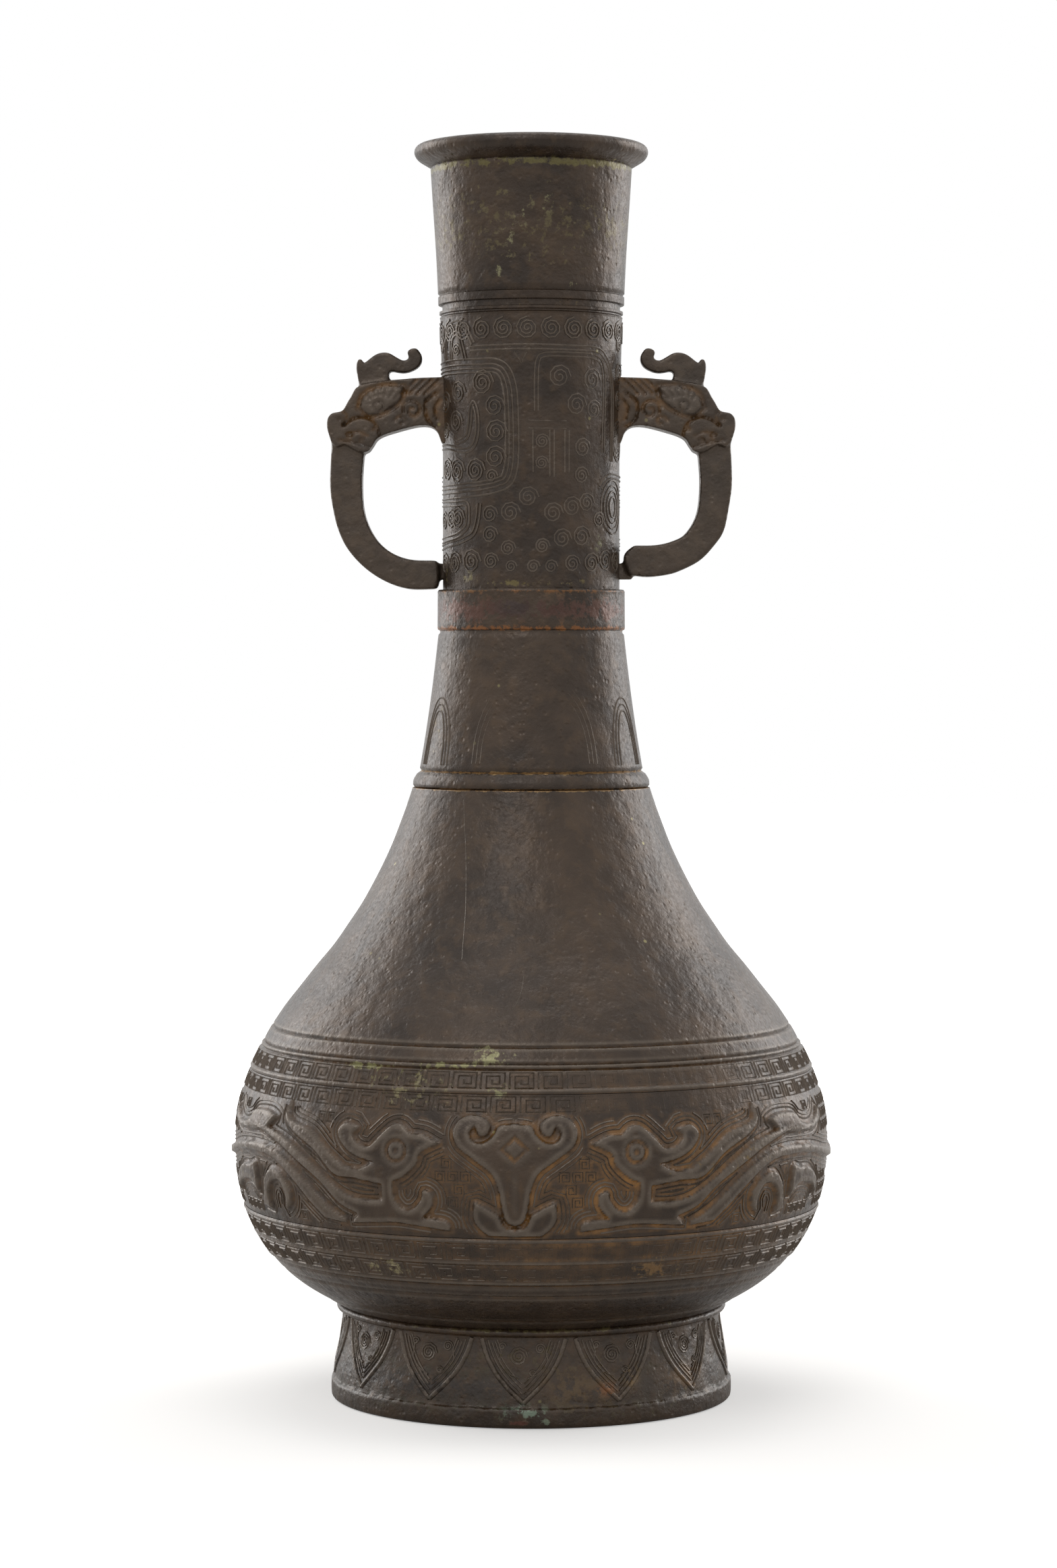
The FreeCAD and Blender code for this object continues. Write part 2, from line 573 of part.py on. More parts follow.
def handle(name, side, loop_end):
    """One handle's solids: strap, head and horn."""
    strap = new_body(name + "_strap")
    out = f"{side} * (handle_reach - strap_width / 2)"
    spine = new_sketch(strap, name + "_spine", "XZ_Plane")
    draw(spine, [
        (out, "strap_top"),
        (out, f"{loop_end} + strap_bend"),
        (f"{side} * (neck_radius + loop_gap + strap_run)", loop_end, 7),
        (f"{side} * (neck_radius + loop_gap)", loop_end),
    ], closed=False)
    section = new_sketch(strap, name + "_section", "XY_Plane",
                         Placement(Vector(0, 0, value("sizes.strap_top")), Rotation()))
    section.setExpression("AttachmentOffset.Base.z", "sizes.strap_top")
    outer, inner = f"{out} + strap_width / 2", f"{out} - strap_width / 2"
    draw(section, [
        (inner, "strap_rounding - strap_depth / 2"),
        (f"{inner} + strap_rounding", "- strap_depth / 2"),
        (f"{outer} - strap_rounding", "- strap_depth / 2"),
        (outer, "strap_rounding - strap_depth / 2"),
        (outer, "strap_depth / 2 - strap_rounding"),
        (f"{outer} - strap_rounding", "strap_depth / 2"),
        (f"{inner} + strap_rounding", "strap_depth / 2"),
        (inner, "strap_depth / 2 - strap_rounding"),
    ])
    doc.recompute()
    pipe = strap.newObject("PartDesign::AdditivePipe", name + "_strap_pipe")
    pipe.Profile = section
    pipe.Spine = (spine, [f"Edge{number}" for number in range(1, len(spine.Shape.Edges) + 1)])
    pipe.Transition = "Right corner"
    spine.Visibility = section.Visibility = False

    nub = new_sketch(strap, name + "_nub", "XZ_Plane")
    near, far = f"{side} * (neck_radius - bite)", f"{side} * (neck_radius + loop_gap + bite)"
    draw(nub, [
        (near, f"{loop_end} - nub_height / 2"),
        (far, f"{loop_end} - nub_height / 2"),
        (far, f"{loop_end} + nub_height / 2"),
        (near, f"{loop_end} + nub_height / 2"),
    ])
    nub_pad = strap.newObject("PartDesign::Pad", name + "_nub_pad")
    nub_pad.Profile = nub
    nub_pad.SideType = "Symmetric"
    nub_pad.setExpression("Length", "sizes.nub_depth")
    nub.Visibility = False

    head = new_body(name + "_head")
    slab(head, name + "_head_outline", HEAD, side, "head_depth")
    bevel(head, name + "_head_crown", "head_height + head_crown", "1")
    bevel(head, name + "_head_jaw", "head_height - head_jaw", "-1")
    eyes(head, name, side)
    horn = new_body(name + "_horn")
    slab(horn, name + "_horn_outline", HORN, side, "horn_depth")
    doc.recompute()
    return [strap, head, horn]


left_handle = handle("left", -1, "left_loop_end")
right_handle = handle("right", 1, "right_loop_end")

# The casting: everything is one solid, with the hollow cut out of it.
solid_casting = doc.addObject("Part::MultiFuse", "solid_casting")
solid_casting.Shapes = [vessel, relief, lappets] + left_handle + right_handle
vase = doc.addObject("Part::Cut", "vase")
vase.Label = "vase"
vase.Base = solid_casting
vase.Tool = hollow
doc.recompute()

os.makedirs("parts", exist_ok=True)
for item in doc.Objects:
    if "Invalid" in item.State or "Error" in item.State:
        raise RuntimeError(f"{item.Label} failed: {item.State}")
if vase.Shape.isNull() or not vase.Shape.isValid() or len(vase.Shape.Solids) != 1:
    raise RuntimeError("the vase isn't one valid solid")
vase.Shape.exportStep("parts/vase.step")
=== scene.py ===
import math

import bmesh
import bpy
import numpy as np
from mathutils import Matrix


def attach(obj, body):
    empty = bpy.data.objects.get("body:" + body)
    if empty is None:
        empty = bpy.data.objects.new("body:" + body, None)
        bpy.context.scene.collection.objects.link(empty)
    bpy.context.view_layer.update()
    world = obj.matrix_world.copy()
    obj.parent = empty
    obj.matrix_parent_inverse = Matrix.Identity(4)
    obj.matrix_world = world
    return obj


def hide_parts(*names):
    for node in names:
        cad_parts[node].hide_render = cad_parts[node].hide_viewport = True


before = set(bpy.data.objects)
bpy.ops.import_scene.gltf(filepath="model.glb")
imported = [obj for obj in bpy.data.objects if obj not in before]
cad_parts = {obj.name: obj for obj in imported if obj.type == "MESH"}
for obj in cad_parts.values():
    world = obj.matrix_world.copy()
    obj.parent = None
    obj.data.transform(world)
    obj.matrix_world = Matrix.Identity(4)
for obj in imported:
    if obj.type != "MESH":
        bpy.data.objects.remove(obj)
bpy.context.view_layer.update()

# Camera and stage: the photograph's view, level with the neck and looking slightly down, on a pale
# floor that runs into a white backdrop and keeps only the vase's soft shadow.
MM = 0.001
CAMERA_TILT = 1.773
camera_data = bpy.data.cameras.new("camera")
camera_data.lens = 94.8
camera_data.sensor_width = 36
camera = bpy.data.objects.new("camera", camera_data)
camera.location = (-0.65 * MM, -992.7 * MM, 177.8 * MM)
camera.rotation_euler = (math.radians(90 - CAMERA_TILT), 0, 0)
bpy.context.collection.objects.link(camera)
bpy.context.scene.camera = camera
bpy.context.scene.view_settings.view_transform = "Standard"


def linear(code):
    """An sRGB hex colour as linear red, green, blue and 1."""
    channels = [int(code[place:place + 2], 16) / 255 for place in (1, 3, 5)]
    return [c / 12.92 if c <= 0.04045 else ((c + 0.055) / 1.055) ** 2.4 for c in channels] + [1.0]


def add(tree, kind, inputs=None, **settings):
    """Adds a node. inputs gives each socket, by name or number, a value or another node's output."""
    node = tree.nodes.new(kind)
    for name, setting in settings.items():
        setattr(node, name, setting)
    for name, given in (inputs or {}).items():
        if isinstance(given, bpy.types.NodeSocket):
            tree.links.new(given, node.inputs[name])
        else:
            node.inputs[name].default_value = given
    return node


def new_material(name):
    """An empty node material, its node tree and its output node."""
    material = bpy.data.materials.new(name)
    material.use_nodes = True
    material.node_tree.nodes.clear()
    return material, material.node_tree, material.node_tree.nodes.new("ShaderNodeOutputMaterial")


FLOOR = 4.0
FLOOR_DROP = 0.1 * MM
floor_mesh = bpy.data.meshes.new("floor")
floor_mesh.from_pydata([(-FLOOR, -FLOOR, -FLOOR_DROP), (FLOOR, -FLOOR, -FLOOR_DROP),
                        (FLOOR, FLOOR, -FLOOR_DROP), (-FLOOR, FLOOR, -FLOOR_DROP)], [], [(0, 1, 2, 3)])
floor = bpy.data.objects.new("floor", floor_mesh)
bpy.context.collection.objects.link(floor)
# Matt white paper: diffuse, and lifted for the camera so that only the shadow shows on it. The lift
# grows from 0.15 m to 0.7 m away from the vase, so that the floor runs into the white backdrop.
paper, tree, out = new_material("matt_white_paper")
path = add(tree, "ShaderNodeLightPath")
sheet = add(tree, "ShaderNodeBsdfDiffuse", {"Color": linear("#e6e4e1")})
spot = add(tree, "ShaderNodeTexCoord")
far = add(tree, "ShaderNodeVectorMath", {0: spot.outputs["Object"]}, operation="LENGTH")
glow = add(tree, "ShaderNodeMapRange", {0: far.outputs["Value"], 1: 0.15, 2: 0.7, 3: 0.4, 4: 1.0})
lift = add(tree, "ShaderNodeEmission", {"Color": linear("#ffffff"), "Strength": glow.outputs[0]})
lifted = add(tree, "ShaderNodeAddShader", {0: sheet.outputs[0], 1: lift.outputs[0]})
mix = add(tree, "ShaderNodeMixShader",
          {0: path.outputs["Is Camera Ray"], 1: sheet.outputs[0], 2: lifted.outputs[0]})
tree.links.new(mix.outputs[0], out.inputs[0])
floor_mesh.materials.append(paper)

# White studio walls: white to the camera and in reflections, softer for the light they shed.
world = bpy.data.worlds.new("white_studio")
bpy.context.scene.world = world
world.use_nodes = True
tree = world.node_tree
tree.nodes.clear()
path = add(tree, "ShaderNodeLightPath")
mirrored_rays = add(tree, "ShaderNodeMath", {0: path.outputs["Is Glossy Ray"],
                                             1: path.outputs["Is Transmission Ray"]},
                    operation="MAXIMUM")
white_rays = add(tree, "ShaderNodeMath", {0: path.outputs["Is Camera Ray"],
                                          1: mirrored_rays.outputs[0]}, operation="MAXIMUM")
level = add(tree, "ShaderNodeMapRange", {0: white_rays.outputs[0], 3: 0.45, 4: 1.0})
walls = add(tree, "ShaderNodeBackground", {"Color": linear("#ffffff"), "Strength": level.outputs[0]})
add(tree, "ShaderNodeOutputWorld", {0: walls.outputs[0]})


def soft_box(name, place, target, size, power):
    """A square soft box that shines from a place towards a target, in metres and watts."""
    data = bpy.data.lights.new(name, "AREA")
    data.size = size
    data.energy = power
    item = bpy.data.objects.new(name, data)
    item.location = place
    aim = np.array(target) - np.array(place)
    item.rotation_euler = (math.acos(-aim[2] / np.linalg.norm(aim)), 0,
                           math.atan2(aim[1], aim[0]) - math.pi / 2)
    bpy.context.collection.objects.link(item)


soft_box("left_soft_box", (-1.3, 0.8, 0.6), (0, 0, 0.15), 1.2, 12.5)
soft_box("right_soft_box", (1.3, 0.75, 0.6), (0, 0, 0.15), 1.1, 11)
soft_box("front_soft_box", (-0.5, -1.3, 1.5), (0, 0, 0.12), 0.9, 5)
soft_box("top_soft_box", (0, 0.2, 1.6), (0, 0, 0.1), 1.0, 5)

# Frieze: the widest part of the hollow bronze casting, with a horned mask in the middle and a crested
# bird each side of it. It was cut in the wax, so its bands are rounded and stand a little proud.
# The metal: lost-wax bronze with a dark brown patina, ochre earth left in every hollow, and patches
# of green, rust and pale crust. The hollows and the skin beside raised lines are also darkened as
# painted shade, and ridges are lightened as a painted highlight. It gives a soft sheen that turns
# near-white at the edges.
patina, tree, out = new_material("patinated_bronze")


def read(fact):
    """The patina's own number or colour at a place on the surface."""
    node = add(tree, "ShaderNodeAttribute", attribute_name=fact)
    return node.outputs["Color"] if fact == "stain_and_shade" else node.outputs["Fac"]


def grain(size, detail=3.0, roughness=0.55):
    """Noise whose lumps are about size mm across."""
    return add(tree, "ShaderNodeTexNoise",
               {"Vector": vase_place.outputs["Object"], "Scale": 1 / (size * MM), "Detail": detail,
                "Roughness": roughness}).outputs[0]


def ramp(given, low, high, to_low=0.0, to_high=1.0):
    """given, stretched from the range low..high to another and held within it."""
    return add(tree, "ShaderNodeMapRange", {0: given, 1: low, 2: high, 3: to_low, 4: to_high}).outputs[0]


def times(first, second):
    """The product of two sockets or numbers."""
    return add(tree, "ShaderNodeMath", {0: first, 1: second}, operation="MULTIPLY").outputs[0]


def colour_mix(share, first, second):
    """first and second mixed by share. Each is a colour socket or a hex colour."""
    node = add(tree, "ShaderNodeMix", {0: share}, data_type="RGBA")
    for number, given in ((6, first), (7, second)):
        if isinstance(given, str):
            node.inputs[number].default_value = linear(given)
        else:
            tree.links.new(given, node.inputs[number])
    return node.outputs[2]


vase_place = add(tree, "ShaderNodeTexCoord")
cloud = grain(18)
mottle = grain(3.4, detail=4.0)
fine = grain(0.8, detail=2.0)
metal = colour_mix(ramp(cloud, 0.36, 0.66), "#2e241c", "#46382c")
metal = colour_mix(ramp(mottle, 0.48, 0.75, 0.0, 0.55), metal, "#53412f")
# Raised parts lighter: partly rubbed bright by wear, partly a painted highlight.
metal = colour_mix(times(read("wear_and_highlight"), ramp(mottle, 0.3, 0.6, 0.55, 0.95)), metal, "#61564b")
# Hollows filled with earth, ochre in places and dark brown elsewhere: partly dirt, partly painted shade.
earth_and_shade = colour_mix(times(read("ochre"), ramp(mottle, 0.36, 0.6, 0.25, 1.0)), "#241b12", "#936528")
metal = colour_mix(times(read("recess"), ramp(cloud, 0.35, 0.6, 0.7, 1.0)), metal, earth_and_shade)
# Crust, and the dark band of painted shade round the foot: thick in the middle of each patch, and
# breaking up into flecks towards its edge.
flecks = add(tree, "ShaderNodeMath", {0: times(grain(2.2, detail=6.0, roughness=0.7), 1.1),
                                      1: read("stain_and_shade_thickness")}, operation="ADD").outputs[0]
crust_and_shade = ramp(flecks, 0.93, 1.02, 0.0, 0.8)
metal = colour_mix(crust_and_shade, metal, read("stain_and_shade"))
# Pale specks of lime, at most one in each 9 mm, where the brown is lighter.
specks = add(tree, "ShaderNodeTexVoronoi", {"Vector": vase_place.outputs["Object"],
                                            "Scale": 1 / (9 * MM)})
metal = colour_mix(times(ramp(specks.outputs[0], 0.03, 0.06, 0.8, 0.0), ramp(cloud, 0.5, 0.56)),
                   metal, "#8d8459")
# Skin: fine casting grain, shallow pits about 2 mm apart, and soft dents a few millimetres across.
pits = add(tree, "ShaderNodeTexVoronoi", {"Vector": vase_place.outputs["Object"],
                                          "Scale": 1 / (2 * MM)})
pitted = times(ramp(pits.outputs[0], 0.1, 0.3, 0.0, 1.0), ramp(mottle, 0.35, 0.6, 0.2, 1.0))
rough_skin = add(tree, "ShaderNodeMath", {0: pitted, 1: times(fine, 0.7)}, operation="ADD")
grainy = add(tree, "ShaderNodeBump", {"Height": rough_skin.outputs[0], "Distance": 0.16 * MM,
                                      "Strength": 0.7})
dents = add(tree, "ShaderNodeBump", {"Height": grain(6.5, detail=2.0), "Distance": 0.9 * MM,
                                     "Strength": 0.5, "Normal": grainy.outputs[0]})
shader = add(tree, "ShaderNodeBsdfPrincipled",
             {"Base Color": metal, "Normal": dents.outputs[0],
              "Metallic": ramp(read("recess"), 0.0, 1.0, 0.4, 0.05),
              "Roughness": ramp(fine, 0.3, 0.7, 0.27, 0.46)})
tree.links.new(shader.outputs[0], out.inputs[0])

# Crust and stains, from rust and lime to plain dirt, and one dark band of painted shade round the
# foot: azimuth in degrees, 0 at the front and growing to the right, level in mm, half the patch's
# width in degrees and height in mm, its colour and how thick it lies. Later ones lie over earlier ones.
CRUSTS_AND_FOOT_SHADE = [
    (0, 188.9, 180, 5.6, "#4c322a", 0.47),
    (-48, 189, 26, 4.8, "#593b30", 0.5),
    (56, 188, 22, 4.8, "#5a3c30", 0.48),
    (-10, 189.4, 12, 2.6, "#372a28", 0.55),
    (0, 184.3, 180, 0.8, "#8a572c", 0.5),
    (0, 193.2, 180, 0.5, "#7d5029", 0.44),
    (0, 150.4, 180, 0.5, "#957349", 0.56),
    (0, 146.4, 180, 0.4, "#8a6a44", 0.54),
    (0, 195.0, 70, 1.2, "#6e6238", 0.42),
    (0, 260.9, 180, 0.7, "#7a5f30", 0.56),
    (0, 279, 180, 16, "#574c36", 0.36),
    # Painted shade: a dark band all round the foot, where it lies under the belly.
    (0, 9, 180, 10, "#231a15", 0.45),
    (0, 16.5, 48, 3.4, "#43351d", 0.4),
    (5, 22.4, 70, 0.9, "#5f5535", 0.44),
    (-40, 196.4, 22, 2.4, "#736a4c", 0.43),
    (-72, 197, 8, 3, "#6b6440", 0.45),
    (30, 195.6, 26, 1.0, "#6f6140", 0.36),
    (48, 205, 16, 6, "#5d5c44", 0.36),
    (0, 293.6, 180, 1.6, "#645c34", 0.5),
    (-24, 80, 18, 7, "#8b8262", 0.38),
    (-8, 87, 8, 5, "#93906a", 0.43),
    (-6, 80, 4, 4, "#93906a", 0.4),
    (-36, 84.5, 10, 1.5, "#8f8c60", 0.46),
    (-18, 85.3, 12, 1.2, "#8f8c60", 0.44),
    (-30, 38.5, 7, 4, "#948a68", 0.44),
    (25, 39, 9, 5, "#7c5c36", 0.42),
    (-1, 3.6, 6, 1.6, "#8ba18e", 0.54),
    (4, 1.8, 3, 1.4, "#869480", 0.5),
    (-3.5, 1.4, 3.5, 1.1, "#5c352b", 0.62),
    (50, 9, 9, 4, "#6d5335", 0.42),
    (14, 9, 14, 6, "#5f4a2e", 0.4),
    (22, 8.5, 2.5, 1.4, "#8a5a34", 0.46),
    (30, 11, 2, 2.4, "#8d7350", 0.44),
    (160, 120, 50, 25, "#5f5a3c", 0.3),
    (-120, 250, 30, 20, "#6c6844", 0.32),
    (-20, 268, 5, 3, "#8b8766", 0.45),
    (-12, 275.5, 4, 3, "#8b8766", 0.45),
    (-5, 281, 4, 2.5, "#8b8766", 0.45),
    (8, 285, 6, 3, "#84815f", 0.43),
    (26, 265, 4, 2.5, "#8b8766", 0.43),
    (40, 62, 26, 9, "#6f5531", 0.32),
    (-62, 160, 14, 10, "#6a5a40", 0.36),
]


# EARTHY shows where no patch lies, and HIDING is how fast a patch covers what lies under it.
EARTHY = "#6f6542"
HIDING = 2.2


def stains_and_foot_shade(azimuth, level):
    """Crust colour, with the painted shade round the foot, and how thick it lies on the vase."""
    colour = np.zeros(azimuth.shape + (4,))
    colour[:] = linear(EARTHY)
    thick = np.zeros(azimuth.shape)
    for middle, height, half_width, half_height, code, amount in CRUSTS_AND_FOOT_SHADE:
        across = (azimuth - middle + 180) % 360 - 180
        far = (across / half_width) ** 2 if half_width < 180 else 0
        share = amount * np.exp(-far - ((level - height) / half_height) ** 2)
        colour += (np.array(linear(code)) - colour) * np.clip(share * HIDING, 0, 1)[..., None]
        thick = np.maximum(thick, share)
    return colour, thick


def ochre(azimuth, level):
    """How bright the earth in the hollows is: brightest round the mask and the right-hand bird."""
    across = (azimuth - 20 + 180) % 360 - 180
    return (0.08 + 0.15 * np.exp(-((level - 62) / 34) ** 4) + 0.06 * np.exp(-((level - 14) / 9) ** 4)
            + 0.62 * np.exp(-(across / 34) ** 2 - ((level - 58) / 18) ** 4)
            + 0.35 * np.exp(-((np.abs(azimuth) - 90) / 25) ** 4 - ((level - 241) / 12) ** 4))


THICK_CRUST = 0.7
SHARP_EDGE = 48


def bronze_piece(name, mesh, recess=0.0, wear_and_highlight=0.0, crust_colour=None):
    """Makes a finished mesh part of the casting, with the patina's facts at each of its vertices."""
    spots = np.empty(len(mesh.vertices) * 3)
    mesh.vertices.foreach_get("co", spots)
    x, y, z = spots.reshape(-1, 3).T / MM
    azimuth = np.degrees(np.arctan2(x, -y))
    stain_and_shade, thick = stains_and_foot_shade(azimuth, z)
    if crust_colour:
        stain_and_shade[:] = linear(crust_colour)
        thick[:] = THICK_CRUST
    facts = {"recess": np.broadcast_to(recess, x.shape), "wear_and_highlight": np.broadcast_to(wear_and_highlight, x.shape),
             "ochre": ochre(azimuth, z), "stain_and_shade_thickness": thick}
    for fact, numbers in facts.items():
        layer = mesh.attributes.new(fact, "FLOAT", "POINT")
        layer.data.foreach_set("value", np.ascontiguousarray(numbers, dtype=np.float32))
    layer = mesh.attributes.new("stain_and_shade", "FLOAT_COLOR", "POINT")
    layer.data.foreach_set("color", stain_and_shade.astype(np.float32).ravel())
    mesh.shade_smooth()
    mesh.set_sharp_from_angle(angle=math.radians(SHARP_EDGE))
    mesh.materials.clear()
    mesh.materials.append(patina)
    item = bpy.data.objects.new(name, mesh)
    bpy.context.collection.objects.link(item)
    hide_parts("vase")
    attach(item, "root")
    return item


def smooth(points, spacing=0.5):
    """A smooth line through given points, as points about spacing mm apart."""
    p = np.array(points, dtype=float)
    if len(p) == 2:
        return p
    p = np.vstack([2 * p[0] - p[1], p, 2 * p[-1] - p[-2]])
    line = [p[1:2]]
    for a, b, c, d in zip(p[:-3], p[1:-2], p[2:-1], p[3:]):
        steps = max(1, round(float(np.linalg.norm(c - b)) / spacing))
        t = (np.arange(1, steps + 1) / steps)[:, None]
        line.append(0.5 * (2 * b + (c - a) * t + (2 * a - 5 * b + 4 * c - d) * t ** 2
                           + (3 * b - a - 3 * c + d) * t ** 3))
    return np.vstack(line)


def spaced(line, spacing):
    """The same line with its points evenly spaced."""
    along = np.concatenate([[0], np.cumsum(np.linalg.norm(np.diff(line, axis=0), axis=1))])
    marks = np.linspace(0, along[-1], max(2, round(along[-1] / spacing) + 1))
    return np.column_stack([np.interp(marks, along, line[:, k]) for k in (0, 1)])


def blurred(field, reach=3):
    """A band's field averaged over its neighbours, round the vase and up it."""
    for axis, edge in ((1, "wrap"), (0, "edge")):
        pads = [(0, 0), (0, 0)]
        pads[axis] = (reach + 1, reach)
        total = np.cumsum(np.pad(field, pads, mode=edge), axis=axis)
        near, far = (total[:, :-2 * reach - 1], total[:, 2 * reach + 1:]) if axis else (
            total[:-2 * reach - 1], total[2 * reach + 1:])
        field = (far - near) / (2 * reach + 1)
    return field


SHADED_DEPTH = 0.14


def turned(name, profile, columns, height=None, first=0.0, hub=None, recess=0.0):
    """A band of the casting's skin, turned from a profile of (radius, level) and raised by height.

    hub is the profile's row, 0 or -1, that is closed to a point on the axis. What lies SHADED_DEPTH mm
    under its surroundings holds dirt and is darkened as painted shade, and what lies as far over them
    is rubbed bright and lightened as a painted highlight.
    """
    rows = len(profile)
    if height is None:
        height = np.zeros((rows, 1))
    height = np.broadcast_to(height, (rows, columns))
    along = np.gradient(profile, axis=0)
    along /= np.linalg.norm(along, axis=1)[:, None]
    turn = np.radians(first + np.arange(columns) * 360 / columns)[None, :]
    radius = profile[:, :1] + height * along[:, 1:]
    level = profile[:, 1:] - height * along[:, :1]
    spots = np.stack([radius * np.sin(turn), -radius * np.cos(turn), level], axis=2).reshape(-1, 3)
    near = np.arange(rows * columns).reshape(rows, columns)
    far = np.roll(near, -1, axis=1)
    faces = np.stack([near[:-1], far[:-1], far[1:], near[1:]], axis=2).reshape(-1, 4).tolist()
    sunk = blurred(height) - height
    recess = np.clip(sunk / SHADED_DEPTH + recess, 0, 1).ravel()
    wear_and_highlight = np.clip(-sunk / SHADED_DEPTH, 0, 1).ravel()
    if hub is not None:
        ring = zip(near[hub].tolist(), far[hub].tolist())
        middle = len(spots)
        faces += [(b, a, middle) if hub == 0 else (a, b, middle) for a, b in ring]
        spots = np.vstack([spots, [0, 0, profile[hub, 1]]])
        recess = np.append(recess, recess[-1])
        wear_and_highlight = np.append(wear_and_highlight, 0)
    mesh = bpy.data.meshes.new(name)
    mesh.from_pydata((spots * MM).tolist(), [], faces)
    return bronze_piece(name, mesh, recess, wear_and_highlight)


# The belly's outside, from the bead over the foot to the ring under the neck, as (radius, level).
BELLY = smooth([(46.3, 22.8), (49.9, 24.9), (55.3, 28.2), (59.4, 31.5), (62.3, 34.6), (64.7, 37.8),
                (66.6, 41.1), (68.1, 44.4), (69.1, 47), (70.2, 51), (70.8, 54.5), (71.15, 58),
                (71.25, 61), (71.2, 65), (70.9, 68), (70.4, 71), (69.5, 74), (68.4, 77), (67.4, 79.5),
                (66.0, 82.5), (64.5, 85.5), (62.9, 88.5), (61.2, 91.1), (59, 94.3), (55.2, 99.1),
                (51.4, 103.9), (47.4, 108.7), (44, 113.6), (40.8, 118.4), (38.1, 123.2),
                (35.6, 128.1), (33.4, 132.9), (31.5, 137.8), (29.7, 142.7), (28.5, 146.3)])


TUCK = 0.8


def stretch(line, low, high, spacing):
    """The part of a profile between two levels, with its ends turned in under its neighbours."""
    marks = np.linspace(low, high, 200)
    part = np.column_stack([np.interp(marks, line[:, 1], line[:, 0]), marks])
    part = spaced(part, spacing)
    return np.vstack([part[0] - (TUCK, 0), part, part[-1] - (TUCK, 0)])


# The frieze's raised bands in one quarter, as (degrees from the mask's middle, level). The quarter is
# mirrored to the other side of the mask, and both again to the back.
BIRD_HEAD = [
    [(14, 68.4), (17.4, 66.2), (18.3, 63.6), (20.6, 60.8), (22.9, 59.4)],
    [(22.9, 59.4), (22.9, 56.5)],
    [(22.9, 56.5), (25.3, 56.5)],
    [(25.3, 56.5), (25.3, 58.6)],
    [(25.3, 58.6), (31, 59.4), (36, 60), (41, 64.9), (47.6, 68.6), (50.2, 71.4), (50, 75.3)],
    [(50, 75.3), (48.6, 71.4), (42, 69.2), (37.5, 65.2), (33.5, 62)],
    [(33.5, 62), (30, 61.8), (27, 63.4)],
    [(27, 63.4), (31, 64.6), (33.8, 66.6), (35.3, 69.6), (33.8, 71.7), (30.8, 71.1)],
    [(30.8, 71.1), (31.7, 69.3), (30.6, 67.4), (28.2, 66.9), (26.3, 69), (23.6, 71.9), (21.5, 72.1),
     (19.7, 70.4)],
    [(19.7, 70.4), (17, 70.1), (14, 68.4)],
]
BIRD_BODY = [
    [(25.3, 58), (25.3, 55)],
    [(25.3, 55), (30, 54.9), (34, 56.1), (38.5, 59.3), (43.4, 63.2), (49.3, 66.7), (56, 68.6)],
    [(56, 68.6), (53.5, 71.2)],
    [(53.5, 71.2), (57, 72.2), (62.8, 71.8), (64.7, 69.7), (68.6, 68.6), (72.2, 69.4), (75, 72.2)],
    [(75, 72.2), (74.4, 68.6), (70, 67.2), (61.1, 67.5)],
    [(61.1, 67.5), (58.1, 67.5), (51.5, 65.2), (45, 61.5), (39.5, 57.9), (35, 53.4), (30.8, 51.3)],
    [(30.8, 51.3), (32.8, 49.1)],
    [(32.8, 49.1), (28, 49.6), (22.4, 50), (16.8, 49.3), (12.2, 48.6)],
    [(12.2, 48.6), (12, 49.8), (13.2, 51), (17.2, 51.4)],
    [(17.2, 51.4), (15.3, 54.4), (15.4, 57), (17, 57.7), (17.4, 55.7), (19, 53.5), (21, 53.3),
     (22.6, 55.4), (22.9, 58)],
    [(22.9, 58), (25.3, 58)],
]
TAIL = [
    [(34, 49.9), (38, 52.6), (43, 57.4), (48, 61.2), (53, 63.7), (60, 64.5), (70, 63.6), (80, 61.4),
     (90, 60.2)],
    [(90, 60.2), (90, 58.2)],
    [(90, 58.2), (80, 59.4), (70, 61.8), (60, 62.5), (53, 61.4), (47, 57.4), (42.5, 53), (39, 49.6)],
    [(39, 49.6), (34, 49)],
    [(34, 49), (34, 49.9)],
]
SCROLL = [
    [(58.8, 50.2), (57.9, 53), (57.2, 56.4), (54.7, 59.2), (51, 58.2), (48.4, 55.2), (48.4, 52),
     (50.4, 50)],
    [(50.4, 50), (49.9, 53.6), (51.6, 56.6), (54.4, 56.2), (56, 53.4), (55.8, 49.6)],
    [(55.8, 49.6), (58.8, 50.2)],
]
LEAF = [
    [(63.9, 59.1), (61.2, 59.4), (60.3, 52.8)],
    [(60.3, 52.8), (63.6, 55.2), (67, 55.2), (70.3, 54.1), (72, 51.8)],
    [(72, 51.8), (72.4, 55.4), (68.6, 58.4), (63.9, 59.1)],
]
MASK = [
    [(-1, 50.1), (-1, 72.9)],
    [(-1, 72.9), (0, 72.9), (2.9, 72.4), (3.8, 70.6), (5.6, 68.8), (7.6, 69), (8.4, 70.8), (7.5, 72.2)],
    [(7.5, 72.2), (6.3, 70.1), (4.8, 71), (4.9, 73.3), (7.4, 74.7), (10.2, 73.8), (11.4, 71),
     (10.6, 67.9), (7.6, 65), (4.4, 62), (3, 58.5), (2.5, 55), (2, 52), (1.2, 50.6), (0, 50.1)],
    [(0, 50.1), (-1, 50.1)],
]
CHIN = [
    [(-1, 49.2), (0, 49.2), (1.9, 49.8), (3, 52.6)],
    [(3, 52.6), (5.2, 54.2), (7.4, 55.5)],
    [(7.4, 55.5), (7.6, 51.8), (6.6, 49.4), (4.9, 47.7)],
    [(4.9, 47.7), (-1, 47.5)],
    [(-1, 47.5), (-1, 49.2)],
]
